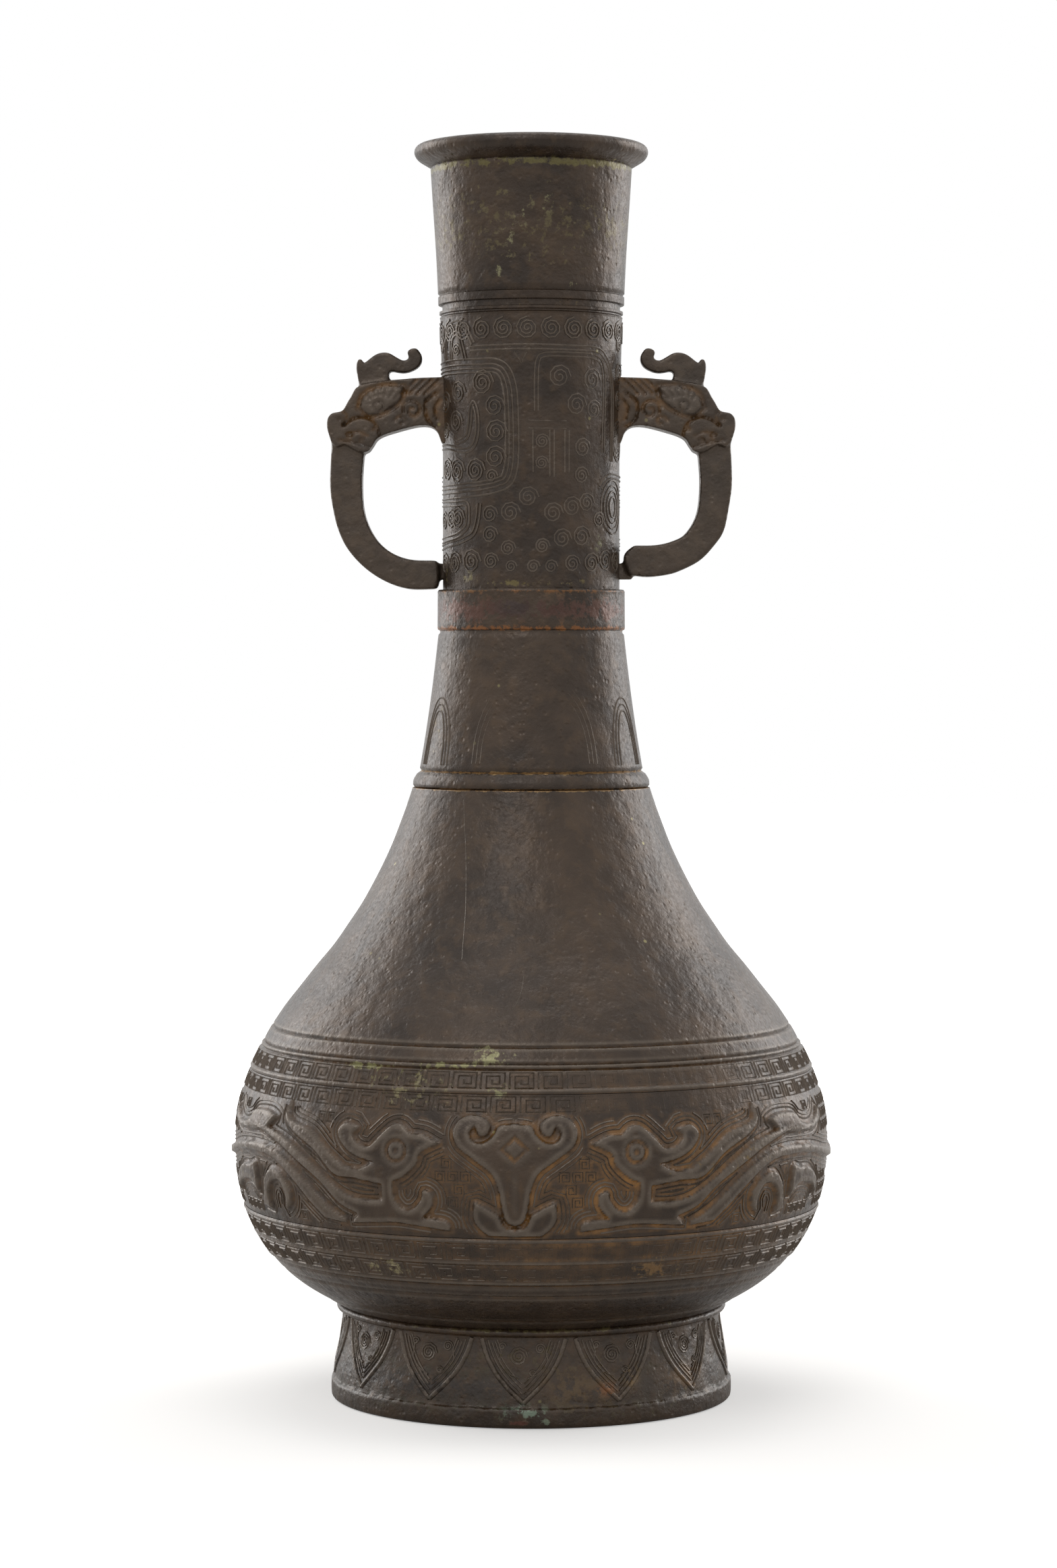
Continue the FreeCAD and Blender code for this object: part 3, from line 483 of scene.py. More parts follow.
BELLY_DEGREE = 71.3 * math.pi / 180


def closed(strokes):
    """A band's outline in mm across and up, from its strokes in degrees and mm."""
    sized = [np.array(stroke) * (BELLY_DEGREE, 1) for stroke in strokes]
    return np.vstack([smooth(stroke, 0.6)[:-1] for stroke in sized])


def line_distance(line, across, up):
    """How far places are from a line of points, in mm."""
    nearest = np.full(np.broadcast(across, up).shape, 1e9)
    for (ax, ay), (bx, by) in zip(line[:-1], line[1:]):
        dx, dy = bx - ax, by - ay
        t = np.clip(((across - ax) * dx + (up - ay) * dy) / max(dx * dx + dy * dy, 1e-9), 0, 1)
        nearest = np.minimum(nearest, np.hypot(across - ax - t * dx, up - ay - t * dy))
    return nearest


def inside_depth(outline, across, up):
    """How far places lie inside a closed outline in mm, negative outside it."""
    ring = np.vstack([outline, outline[:1]])
    within = np.zeros(np.broadcast(across, up).shape, dtype=bool)
    for (ax, ay), (bx, by) in zip(ring[:-1], ring[1:]):
        if ay != by:
            within ^= ((ay > up) != (by > up)) & (across < ax + (up - ay) * (bx - ax) / (by - ay))
    return np.where(within, 1, -1) * line_distance(ring, across, up)


def eased(share):
    """0 below 0, 1 above 1 and a smooth step between."""
    share = np.clip(share, 0, 1)
    return share * share * (3 - 2 * share)


FRIEZE_LOW, FRIEZE_HIGH = 46.8, 79.4
FRIEZE_COLUMNS = 1152
FRIEZE_TURN = -3.0
BAND_RISE = 1.0
bands = [closed(strokes) for strokes in (BIRD_HEAD, BIRD_BODY, TAIL, SCROLL, LEAF, MASK, CHIN)]
frieze_profile = stretch(BELLY, FRIEZE_LOW, FRIEZE_HIGH, 0.41)
quarter = np.arange(FRIEZE_COLUMNS // 4 + 1) * 360 / FRIEZE_COLUMNS
across, up = np.meshgrid(quarter * BELLY_DEGREE, frieze_profile[:, 1])
deepest = np.max([inside_depth(outline, across, up) for outline in bands], axis=0)
raised = BAND_RISE * eased((deepest + 0.4) / 0.8)
# The mask's brow diamond, the birds' eyes and the ridge down the mask's snout.
diamond = 1 - np.abs(across) / (2.2 * BELLY_DEGREE) - np.abs(up - 67.3) / 2.5
raised -= 0.35 * np.exp(-(diamond / 0.22) ** 2) * (deepest > 0)
snout = np.exp(-(across / 1.1) ** 2) * eased((up - 51) / 3) * eased((64 - up) / 4)
raised += 0.1 * snout - 0.15
eye = np.hypot(across - 22.3 * BELLY_DEGREE, up - 66.3)
raised -= 0.5 * np.exp(-((eye - 2.3) / 0.42) ** 2)
raised -= 0.3 * np.exp(-(eye / 0.7) ** 2)
fold = np.arange(FRIEZE_COLUMNS) % (FRIEZE_COLUMNS // 2)
fold = np.minimum(fold, FRIEZE_COLUMNS // 2 - fold)
# A dark rim just outside each raised band: partly dirt in the crevice, partly painted shade where the band
# meets the ground.
ground = 0.85 * np.exp(-((deepest + 0.42) / 0.3) ** 2)
frieze = turned("frieze", frieze_profile, FRIEZE_COLUMNS, raised[:, fold], first=FRIEZE_TURN,
                recess=ground[:, fold])

# Belly below the frieze and shoulder above it: plain skin of the same hollow casting, with grooves and
# ridges that were turned round it in the wax.
def rings(profile, ridges):
    """The height of ridges round a band. Each is its level, how wide it is, and how high or deep."""
    level = profile[:, 1:]
    return sum(rise * np.exp(-np.abs((level - middle) / (width / 2)) ** 3)
               for middle, width, rise in ridges)


low_belly = stretch(BELLY, 22.8, FRIEZE_LOW, 0.4)
low_belly_rings = rings(low_belly, [(46.3, 0.7, 0.35), (41.0, 0.6, 0.35), (36.0, 0.7, 0.35),
                                    (35.0, 0.6, -0.35), (32.2, 0.6, -0.35), (25.2, 0.6, -0.25)])
low_belly_skin = turned("low_belly", low_belly, 300, low_belly_rings,
                        recess=0.25 * eased((low_belly[:, 1:] - 36.4) / 0.5))
shoulder = stretch(BELLY, FRIEZE_HIGH, 92, 0.3)
shoulder = np.vstack([shoulder[:-1], stretch(BELLY, 92.6, 146.3, 0.8)[1:]])
shoulder_rings = rings(shoulder, [(80.0, 0.8, 0.35), (84.7, 0.5, -0.4), (85.3, 0.7, 0.2),
                                  (85.9, 0.5, -0.4), (89.5, 0.6, -0.45)])
shoulder_skin = turned("shoulder", shoulder, 300, shoulder_rings,
                       recess=0.2 * eased((84.4 - shoulder[:, 1:]) / 0.5))

# Neck root: the ring at the foot of the neck, the plain taper over it and the raised band, which has
# rusted. It is cast in one with the shoulder and the neck.
neck_root = np.vstack([
    [(27.4, 146.3), (28.1, 146.5)], smooth([(28.4, 147), (28.3, 148.2), (27.5, 149.6)], 0.4),
    [(26.4, 150.4)], smooth([(26.75, 151), (25.7, 157.2), (24.7, 163.7), (23.8, 170.2), (23, 176.7),
                             (22.3, 182.9)], 0.9),
    [(21.9, 183.4), (21.9, 183.9), (22.4, 184.2)], spaced(np.array([(22.5, 184.6), (22.45, 193.0)]), 0.7),
    [(22.5, 193.2), (22.2, 193.7), (20.9, 193.75)]])
neck_root_skin = turned("neck_root", neck_root, 240)

# Neck: a slim bronze tube, cast in one with the rest, that swells a little upwards. Its ornament is
# laid on it further down.
neck_line = smooth([(21.2, 193.6), (21.2, 228), (21.5, 245), (21.8, 258.3)], 1.0)
neck = stretch(neck_line, 193.6, 258.3, 0.45)
neck_skin = turned("neck", neck, 360)

# Mouth: two grooves, the plain flared mouth and its rolled lip, which were turned in the wax. The same
# skin goes over the lip and down the inside of the casting to its floor.
mouth = np.vstack([
    [(20.9, 258.2), (21.8, 258.25), (21.9, 258.7), (21.5, 259), (21.5, 259.3), (22, 259.5),
     (22, 260.1), (21.3, 260.3), (21.3, 261.6), (22.25, 261.8)],
    smooth([(22.3, 262.1), (22.3, 263.6)], 0.5),
    [(21.95, 263.9), (22.0, 264.2)],
    smooth([(22.35, 264.5), (22.8, 274), (23.65, 287), (24.1, 294.2)], 0.9),
    [(23.9, 294.6), (24.4, 294.9)],
    smooth([(24.9, 295.1), (27, 296.4), (27.8, 297.4), (28, 298.3), (27.7, 299.2), (26.9, 299.8),
            (25.8, 299.85), (24.4, 299.1), (22.8, 297.3), (21.9, 294.5), (20.9, 289), (19.6, 281.5),
            (19, 276)], 0.5),
    spaced(np.array([(19, 275.5), (19, 143)]), 4),
    smooth([(19, 142.5), (30.8, 124), (46, 98), (58, 84), (66, 74), (68.2, 62), (67, 50),
            (61, 38), (50, 28), (41, 23.2)], 4),
    spaced(np.array([(40.5, 22.9), (4, 22.8)]), 6)])
turned("mouth_and_inside", mouth, 240, hub=-1)

# Foot: a cast ring with a plain rim at the bottom, where the metal is rough, and a bead round its top.
# It is hollow underneath, up to the floor of the vessel.
foot = np.vstack([
    spaced(np.array([(4, 19.4), (41.6, 19.4)]), 6), spaced(np.array([(41.9, 19.2), (41.9, 0.6)]), 3),
    smooth([(42.2, 0.25), (43, 0.05), (47, 0.05), (47.9, 0.25), (48.15, 0.9), (48.2, 2.5),
            (48.15, 4.2)], 0.4),
    [(47.9, 4.6), (47.5, 4.8)],
    smooth([(47.4, 5.2), (47, 8.4), (46.35, 11.7), (45.85, 14.9), (45.4, 18.1), (45.25, 20.5)], 0.45),
    [(45.3, 20.7)], smooth([(45.9, 20.9), (46.6, 21.3), (46.85, 21.9), (46.6, 22.5), (46, 22.9)], 0.25),
    [(45.4, 23)]])
FOOT_COLUMNS = 600
foot_turn = np.radians(np.arange(FOOT_COLUMNS) * 360 / FOOT_COLUMNS)[None, :]
wobble = (0.5 * np.sin(61 * foot_turn) + 0.5 * np.sin(97 * foot_turn + 1)
          + 0.6 * np.sin(23 * foot_turn + 2))
rough_edge = np.exp(-((foot[:, 1:] - 4.7) / 0.5) ** 2) * (foot[:, :1] > 44)
# The whole foot is darkened with earth: partly dirt, partly painted shade under the belly.
foot_skin = turned("foot", foot, FOOT_COLUMNS, height=0.12 * rough_edge * wobble, hub=0, recess=0.6)

# Line ornament: thin raised threads that were laid on the wax before casting, flattened by wear. They
# make the fret rows, the fine lines between the birds, the neck's panels and the foot's lappets.
threads = bpy.data.node_groups.new("threads_laid_round_a_band", "GeometryNodeTree")
SOCKETS = {}
for socket_name, kind in (("Wires", "NodeSocketGeometry"), ("Ground", "NodeSocketObject"),
                          ("Copies", "NodeSocketInt"), ("Turn", "NodeSocketFloat"),
                          ("Thickness", "NodeSocketFloat"), ("Sides", "NodeSocketInt"),
                          ("Finish", "NodeSocketMaterial")):
    socket = threads.interface.new_socket(name=socket_name, in_out="INPUT", socket_type=kind)
    SOCKETS[socket_name] = socket.identifier
threads.interface.new_socket(name="Threads", in_out="OUTPUT", socket_type="NodeSocketGeometry")
given = add(threads, "NodeGroupInput").outputs


def maths(operation, *numbers):
    """The result of a maths node on sockets or numbers."""
    return add(threads, "ShaderNodeMath", dict(enumerate(numbers)), operation=operation).outputs[0]


# The wires are drawn flat: x is the azimuth in degrees, y how deep they lie and z the level. Each of
# their points then goes to where a ray from OUTSIDE metres away from the axis meets the skin.
OUTSIDE = 0.15
counter = add(threads, "GeometryNodeInputIndex").outputs[0]
shift = add(threads, "ShaderNodeCombineXYZ",
            {0: maths("MULTIPLY", counter, maths("DIVIDE", 360.0, given["Copies"]))})
starts = add(threads, "GeometryNodePoints", {"Count": given["Copies"], "Position": shift.outputs[0]})
repeated = add(threads, "GeometryNodeInstanceOnPoints",
               {"Points": starts.outputs[0], "Instance": given["Wires"]})
flat = add(threads, "GeometryNodeRealizeInstances", {0: repeated.outputs[0]})
here = add(threads, "ShaderNodeSeparateXYZ",
           {0: add(threads, "GeometryNodeInputPosition").outputs[0]}).outputs
azimuth = maths("RADIANS", maths("ADD", here["X"], given["Turn"]))
sine, cosine = maths("SINE", azimuth), maths("COSINE", azimuth)
inwards = add(threads, "ShaderNodeCombineXYZ", {0: maths("MULTIPLY", sine, -1.0), 1: cosine})
outside = add(threads, "ShaderNodeCombineXYZ",
              {0: maths("MULTIPLY", sine, OUTSIDE), 1: maths("MULTIPLY", cosine, -OUTSIDE),
               2: here["Z"]})
skin_of_band = add(threads, "GeometryNodeObjectInfo", {"Object": given["Ground"]})
hit = add(threads, "GeometryNodeRaycast",
          {"Target Geometry": skin_of_band.outputs["Geometry"], "Source Position": outside.outputs[0],
           "Ray Direction": inwards.outputs[0], "Ray Length": OUTSIDE})
depth = add(threads, "ShaderNodeVectorMath", {0: inwards.outputs[0], 3: here["Y"]}, operation="SCALE")
laid = add(threads, "ShaderNodeVectorMath", {0: hit.outputs["Hit Position"], 1: depth.outputs[0]},
           operation="ADD")
wrapped = add(threads, "GeometryNodeSetPosition",
              {"Geometry": flat.outputs[0], "Position": laid.outputs[0]})
runs = add(threads, "GeometryNodeMeshToCurve", {"Mesh": wrapped.outputs[0]})
section = add(threads, "GeometryNodeCurvePrimitiveCircle",
              {"Resolution": given["Sides"], "Radius": maths("DIVIDE", given["Thickness"], 2.0)})
tubes = add(threads, "GeometryNodeCurveToMesh",
            {"Curve": runs.outputs[0], "Profile Curve": section.outputs[0], "Fill Caps": True})
whole = add(threads, "GeometryNodeRealizeInstances", {0: tubes.outputs[0]})
finished = add(threads, "GeometryNodeSetMaterial",
               {"Geometry": whole.outputs[0], "Material": given["Finish"]})
add(threads, "NodeGroupOutput", {0: finished.outputs[0]})


EARTH_AND_SHADE_CELL = 0.3
EARTH_AND_SHADE_SPREAD = 3.2
WORN_FLAT = 0.26


def earth_and_shade_beside_threads(ground, strokes, copies, turn, worn, amount):
    """Darkens a band's skin beside threads with dirt and painted shade, less where they are worn down.

    The threads are marked in a grid of cells EARTH_AND_SHADE_CELL mm wide, blurred and spread by
    EARTH_AND_SHADE_SPREAD. At
    WORN_FLAT mm of wear little of the darkening is left.
    """
    cell = EARTH_AND_SHADE_CELL
    spots = np.empty(len(ground.data.vertices) * 3)
    ground.data.vertices.foreach_get("co", spots)
    x, y, z = spots.reshape(-1, 3).T / MM
    reach = np.hypot(x, y)
    degree = reach.max() * math.pi / 180
    columns = round(360 * degree / cell)
    low = min(stroke[:, 1].min() for stroke in strokes) - 3
    high = max(stroke[:, 1].max() for stroke in strokes) + 3
    field = np.zeros((round((high - low) / cell) + 1, columns))
    for stroke in strokes:
        line = spaced(np.array(stroke) * (degree, 1), 0.2)
        row = ((line[:, 1] - low) / cell).astype(int)
        for copy in range(copies):
            column = (line[:, 0] + (turn + copy * 360 / copies) * degree) / cell
            field[row, column.astype(int) % columns] = 1
    field = np.clip(blurred(field, 2) * EARTH_AND_SHADE_SPREAD, 0, 1)
    row = np.clip((z - low) / cell, 0, len(field) - 1).astype(int)
    around = np.degrees(np.arctan2(x, -y))
    column = (around * degree / cell).astype(int) % columns
    earth_and_shade = field[row, column] * (reach > 0.9 * reach.max())
    if worn is not None:
        earth_and_shade = earth_and_shade * (1 - np.clip(worn(around, z) / WORN_FLAT, 0, 0.85))
    before = np.empty(len(x))
    layer = ground.data.attributes["recess"]
    layer.data.foreach_get("value", before)
    layer.data.foreach_set("value", np.maximum(before, amount * earth_and_shade).astype(np.float32))


def lay(name, strokes, ground, copies=1, turn=0.0, thickness=0.6, sunk=0.08, sides=5, worn=None,
        crust_colour=None, earth_and_shade_amount=0.9):
    """Lays threads on a band along strokes of (degrees, mm), repeated round it.

    sunk is how deep their middle lies in the skin, worn(azimuth, level) how much deeper in mm, and
    soiled how much dirt and painted shade darken the skin beside them. The threads themselves are
    lightened, partly rubbed bright and partly as a painted highlight.
    """
    wires = bpy.data.meshes.new(name)
    counts = [len(stroke) for stroke in strokes]
    spots = np.vstack(strokes)
    spots = np.column_stack([spots[:, 0], np.full(len(spots), sunk * MM), spots[:, 1] * MM])
    ends = set(np.cumsum(counts).tolist())
    edges = [(k - 1, k) for k in range(1, len(spots)) if k not in ends]
    wires.from_pydata(spots.tolist(), edges, [])
    item = bpy.data.objects.new(name, wires)
    bpy.context.collection.objects.link(item)
    wrap = item.modifiers.new("threads", "NODES")
    wrap.node_group = threads
    for socket_name, setting in (("Ground", ground), ("Copies", copies), ("Turn", float(turn)),
                                 ("Thickness", thickness * MM), ("Sides", sides), ("Finish", patina)):
        wrap[SOCKETS[socket_name]] = setting
    mesh = bpy.data.meshes.new_from_object(item.evaluated_get(bpy.context.evaluated_depsgraph_get()))
    bpy.data.objects.remove(item)
    if worn is not None:
        spots = np.empty(len(mesh.vertices) * 3)
        mesh.vertices.foreach_get("co", spots)
        spots = spots.reshape(-1, 3)
        azimuth = np.degrees(np.arctan2(spots[:, 0], -spots[:, 1]))
        reach = np.hypot(spots[:, 0], spots[:, 1])
        spots[:, :2] *= (1 - worn(azimuth, spots[:, 2] / MM) * MM / reach)[:, None]
        mesh.vertices.foreach_set("co", spots.ravel())
    mesh.name = name
    # Beside the threads the skin is darkened: partly dirt, partly painted shade.
    if crust_colour is None:
        earth_and_shade_beside_threads(ground, strokes, copies, turn, worn, earth_and_shade_amount)
    # The threads are lightened all along: partly rubbed bright, partly a painted highlight.
    return bronze_piece(name, mesh, wear_and_highlight=0.8, crust_colour=crust_colour)


def patch(azimuth, level, middle, height, half_width, half_height):
    """1 inside a soft-edged patch of the vase and 0 outside it."""
    across = (azimuth - middle + 180) % 360 - 180
    return np.exp(-(across / half_width) ** 4 - ((level - height) / half_height) ** 4)


# Fret rows: squared spirals in a cell one pitch wide and a row high, four rows of them.
FRETS = 64
FRET_THREAD = 0.62
FRET = [(0.07, 0.06), (0.07, 0.94), (0.9, 0.94), (0.9, 0.08), (0.26, 0.08), (0.26, 0.74), (0.72, 0.74),
        (0.72, 0.3), (0.46, 0.3), (0.46, 0.54)]


def frets(name, low, high, ground, turn):
    """A row of squared spirals round the belly between two levels."""
    cell = np.array(FRET) * (360 / FRETS, high - low) + (0, low)
    lay(name, [cell], ground, FRETS, turn, FRET_THREAD, sunk=0.04, sides=4, earth_and_shade_amount=0.5,
        worn=lambda azimuth, level: 0.25 * patch(azimuth, level, 27, 80, 24, 8)
        + 0.25 * patch(azimuth, level, 8, 41, 25, 7))


frets("fret_row_1", 80.4, 84.2, shoulder_skin, 1.0)
frets("fret_row_2", 75.2, 79.0, frieze, 3.2)
frets("fret_row_3", 41.5, 45.7, low_belly_skin, 0.0)
frets("fret_row_4", 36.5, 40.5, low_belly_skin, 2.4)


def beside(line, distance):
    """A line that runs a distance to the left of another one."""
    along = np.gradient(line, axis=0)
    along /= np.maximum(np.linalg.norm(along, axis=1), 1e-9)[:, None]
    return line + distance * np.column_stack([-along[:, 1], along[:, 0]])


def depth_in_bands(spots):
    """How deep spots of (mm across, level) lie in the frieze's raised bands, negative outside."""
    return np.max([inside_depth(outline, spots[:, 0], spots[:, 1]) for outline in bands], axis=0)


FEWEST_POINTS = 5


def kept_runs(line, keep):
    """The stretches of a line whose points are all kept, unless they are too short to lay."""
    breaks = np.flatnonzero(np.diff(np.concatenate([[0], keep.astype(int), [0]])))
    return [line[start:end] for start, end in zip(breaks[::2], breaks[1::2]) if end - start >= FEWEST_POINTS]


# Between the birds: up to three threads that run beside every raised band, and small squared spirals
# wherever there is room for one.
SMALL_FRET = [(-1, -1), (-1, 1), (1, 1), (1, -0.8), (-0.45, -0.8), (-0.45, 0.45), (0.4, 0.45),
              (0.4, -0.2)]
SMALL_FRET_HALF = 1.15
FRET_ROOM = 3.9
fill = []
for outline in bands:
    ring = spaced(np.vstack([outline, outline[:1]]), 0.6)
    for distance in (1.15, 2.05, 2.95):
        for side in (-1, 1):
            line = beside(ring, side * distance)
            room = (-depth_in_bands(line) > distance - 0.12) & (line[:, 0] > 0.4)
            room &= (line[:, 0] < 90 * BELLY_DEGREE) & (line[:, 1] > 48) & (line[:, 1] < 74.6)
            fill += kept_runs(line, room)
for row, height in enumerate(np.arange(49.4, 74.5, 2.9)):
    for middle in np.arange(2.2 + 1.5 * (row % 2), 90 * BELLY_DEGREE - 1, 3.0):
        room = -depth_in_bands(np.array([[middle, height]]))[0]
        if room > FRET_ROOM:
            fill.append(np.array(SMALL_FRET) * SMALL_FRET_HALF + (middle, height))
quarter_fill = [line / (BELLY_DEGREE, 1) for line in fill]
half_fill = quarter_fill + [line * (-1, 1) for line in quarter_fill]
lay("frieze_threads", half_fill, frieze, 2, FRIEZE_TURN, thickness=0.5, sunk=0.0, sides=4,
    worn=lambda azimuth, level: 0.1 * patch(azimuth, level, 0, 60, 26, 16))

# Pale streaks of dried lime on the shoulder over the mask.
lay("lime_streaks", [smooth([(-2, 104.6), (-2.6, 101), (-4.4, 97.6), (-9, 95), (-12.4, 94.3)], 0.8),
                     smooth([(-33, 144), (-27, 132), (-22.5, 120), (-19.5, 108)], 0.8)],
    shoulder_skin, thickness=0.44, sunk=0.17, sides=4, crust_colour="#544b41")

# Neck: a row of spirals under the mouth, and framed panels filled with spirals, one at each side of
# the front and the back. The front's right side is worn nearly smooth.
NECK_DEGREE = 21.6 * math.pi / 180


def spiral(azimuth, level, radius, turns=2.4, start=0.0):
    """A spiral that winds in from its radius in mm."""
    steps = round(9 * turns)
    share = np.linspace(0, 1, steps + 1)
    angle = np.radians(start) + 2 * math.pi * turns * share
    reach = radius * (1 - share * (1 - 0.3 / turns))
    return np.column_stack([azimuth + reach * np.cos(angle) / NECK_DEGREE,
                            level + reach * np.sin(angle)])


def parallel(points, *distances):
    """Smooth lines on the neck beside a line through points."""
    line = smooth(np.array(points) * (NECK_DEGREE, 1), 0.8)
    return [beside(line, distance) / (NECK_DEGREE, 1) for distance in distances]


lay("neck_spirals", [spiral(-2.5, 254.8, 2.7, 2.7, 90)], neck_skin, 24, 0.0, thickness=0.56,
    sunk=0.0)
PANEL = [(-86, 246.3), (-68, 246.6), (-50, 246.6), (-36, 246.5), (-24, 246.4), (-17, 244.9),
         (-13.2, 241.2), (-12, 236), (-11.6, 228), (-12.2, 222.6), (-15, 219.2), (-21, 217.9),
         (-32, 217.1), (-48, 216.7), (-68, 216.5), (-86, 216.5)]
HOOK = [(-86, 227.2), (-68, 227), (-56, 226.2), (-45, 226), (-38.4, 227.6), (-35.6, 231),
        (-36.2, 235.4), (-39.6, 238), (-43.2, 236.4), (-44.6, 232.6), (-47.6, 229.8), (-57, 228.9)]
LOWER_PANEL = [(-86, 214.6), (-60, 214.4), (-45.6, 214.2), (-43.6, 211), (-44.6, 208.4), (-50, 206.8),
               (-60, 205.6), (-86, 204.8)]
LOWER_FRAME = [(-34, 213.8), (-35.4, 209.8), (-39, 206.6), (-46, 205.2), (-58, 204.2), (-86, 203.2)]
ARCH = [(-72, 247.6), (-70, 251.7), (-65.4, 255.6), (-57.5, 257), (-49.7, 256.8), (-44, 255.2),
        (-38.4, 251.6)]
INNER_ARCH = [(-63.1, 248.2), (-62.6, 252.2), (-59.2, 254.1), (-54.2, 254.7), (-50.2, 253.4),
              (-47.4, 250.5), (-45.2, 247.8)]
RIGHT_FRAME = [(-42, 250.8), (-20, 250.9), (0, 250.9), (25, 250.8), (46, 250.6), (55, 248.8),
               (62, 245.2), (65.4, 240), (66, 232), (65.4, 224)]
RIGHT_PANEL = [(1.9, 235.4), (1.9, 243), (3, 247.4), (8, 249), (26, 249.2), (44, 248.9), (52, 247),
               (54.6, 243), (55, 236), (54.4, 226)]
RIGHT_LOWER = [(50, 218), (55, 220), (62, 221), (74, 221), (88, 220.6)]
left = parallel(PANEL, 0, 1.3, -1.0, -1.9) + parallel(HOOK, 0, 0.95) + parallel(LOWER_PANEL, 0, -1.0)
left += parallel(LOWER_FRAME, 0, -1.0) + parallel(ARCH, 0, -0.95) + parallel(INNER_ARCH, 0, -0.9)
left += [spiral(*place) for place in (
    (-32.5, 242.2, 3.2, 3), (-24, 236.6, 2.7), (-23, 230.6, 3.0, 2.7), (-23.5, 224.6, 2.9),
    (-26, 220.2, 1.7, 2), (-38.5, 221.6, 3.0, 3), (-56, 221.6, 3.2, 3), (-70, 222, 3.0, 2.7),
    (-57, 233.4, 2.8), (-54, 240.2, 2.9), (-72, 238, 3.0), (-72, 231.4, 2.2, 2.5), (-55, 250.2, 1.7, 2),
    (-78, 251.5, 1.9, 2.5), (-64, 210.2, 2.5), (-55.2, 210.4, 2.8, 2.7), (-76, 210, 2.4),
    (-59, 199.9, 2.9, 2.7), (-42, 200.2, 3.1, 2.7), (-75, 199.8, 2.8), (-27.3, 211.2, 2.2),
    (-27.2, 206.4, 2.2), (-13.6, 211.6, 2.6), (-15, 203.2, 2.0), (-13, 198.9, 1.5, 2),
    (-26.5, 200.2, 2.1, 2.5), (-2, 215.2, 2.6))]
right = parallel(RIGHT_FRAME, 0, -1.0) + parallel(RIGHT_PANEL, 0, -0.9) + parallel(RIGHT_LOWER, 0, -1.0)
right += [np.array(line, dtype=float) for line in (
    [(-10.4, 249.2), (-6.2, 246.6), (-3.2, 249.2)], [(-1.7, 233.1), (10, 233.1), (23, 233.1)],
    [(-1.7, 231.3), (10, 231.3), (23, 231.3)], [(1.2, 231), (1.2, 226), (1.4, 221)],
    [(12, 231), (12, 226), (12, 220)], [(14.9, 231), (14.9, 226), (14.9, 220)],
    [(22, 231), (22, 226), (22, 221)], [(25, 231), (25, 226), (25, 221)])]
right += [spiral(*place) for place in (
    (6.9, 228.3, 1.8, 2.5), (6.6, 223.2, 1.7, 2.5), (34.8, 226.9, 2.5), (34, 220.4, 2.2), (42, 243, 2.9),
    (30, 237, 2.9), (44, 236, 2.5), (18, 243.5, 2.9), (14, 211.5, 2.6), (27, 213, 2.6), (7, 203.7, 1.9),
    (1.2, 198.9, 1.7, 2), (12.6, 198.9, 1.7, 2), (20, 205.5, 2.5), (34, 206, 2.7), (38, 214, 2.5),
    (27, 199.6, 2.2), (42, 199.8, 2.6), (56, 200.4, 2.8), (71, 200.2, 2.8), (49, 210, 2.1),
    (76, 245, 2.8), (76, 238.5, 2.8), (74, 252, 2.1))]
for half_width, half_height in ((15, 6.4), (11.5, 5.1), (8, 3.8), (4.6, 2.4)):
    turn = np.linspace(0, 2 * math.pi, 25)
    right.append(np.column_stack([66 + half_width * np.cos(turn), 213.2 + half_height * np.sin(turn)]))
    right.append(np.column_stack([75 + 0.6 * half_width * np.cos(turn),
                                  229 + 0.75 * half_height * np.sin(turn)]))
lay("neck_threads", left + right, neck_skin, 2, 0.0, thickness=0.54, sunk=0.0, sides=5,
    worn=lambda azimuth, level: 0.14 * patch(azimuth, level, 26, 232, 36, 22)
    + 0.12 * patch(azimuth, level, 8, 206, 30, 10))

# Neck root: arches of three threads each. The wide one between the handles is worn away at the front.
root_lines = []
for middle, width, low, high in ((-62, 13, 152, 168), (62, 13, 152, 168), (2, 34, 152.5, 174)):
    rise = np.linspace(0, math.pi, 19)
    for inset in (0, 1.1, 2.2):
        root_lines.append(np.column_stack([middle - (width - 2.2 * inset) * np.cos(rise),
                                           low + (high - low - 1.4 * inset) * np.sin(rise) ** 0.8]))
lay("neck_root_threads", root_lines, neck_root_skin, 2, 0.0, thickness=0.56, sunk=0.08,
    worn=lambda azimuth, level: 0.2 * patch(azimuth, level, 0, 165, 40, 20))

# Foot lappets: a row of hanging leaves cast on the foot, each with a thick rim, thinner threads inside
# it and curls like eyes.
LAPPETS = 13
FOOT_DEGREE = 46.4 * math.pi / 180
LEAF_SIDE = [(-12.4, 20.4), (-10.7, 16.5), (-8.2, 12.9), (-5, 9.8), (-2.2, 7.6), (0, 5.9)]


def on_foot(points, inset=0.0):
    """A smooth line on the foot through points, or inset mm beside it."""
    line = smooth(np.array(points) * (FOOT_DEGREE, 1), 0.9)
    return beside(line, inset) / (FOOT_DEGREE, 1)


def both_sides(lines):
    """Lines on a lappet's left side, and their mirror images on its right."""
    return lines + [line * (-1, 1) for line in lines]


def curl(across, level, radius, turns):
    """A spiral on the foot."""
    line = spiral(0, level, radius, turns)
    line[:, 0] = across + line[:, 0] * NECK_DEGREE / FOOT_DEGREE
    return line


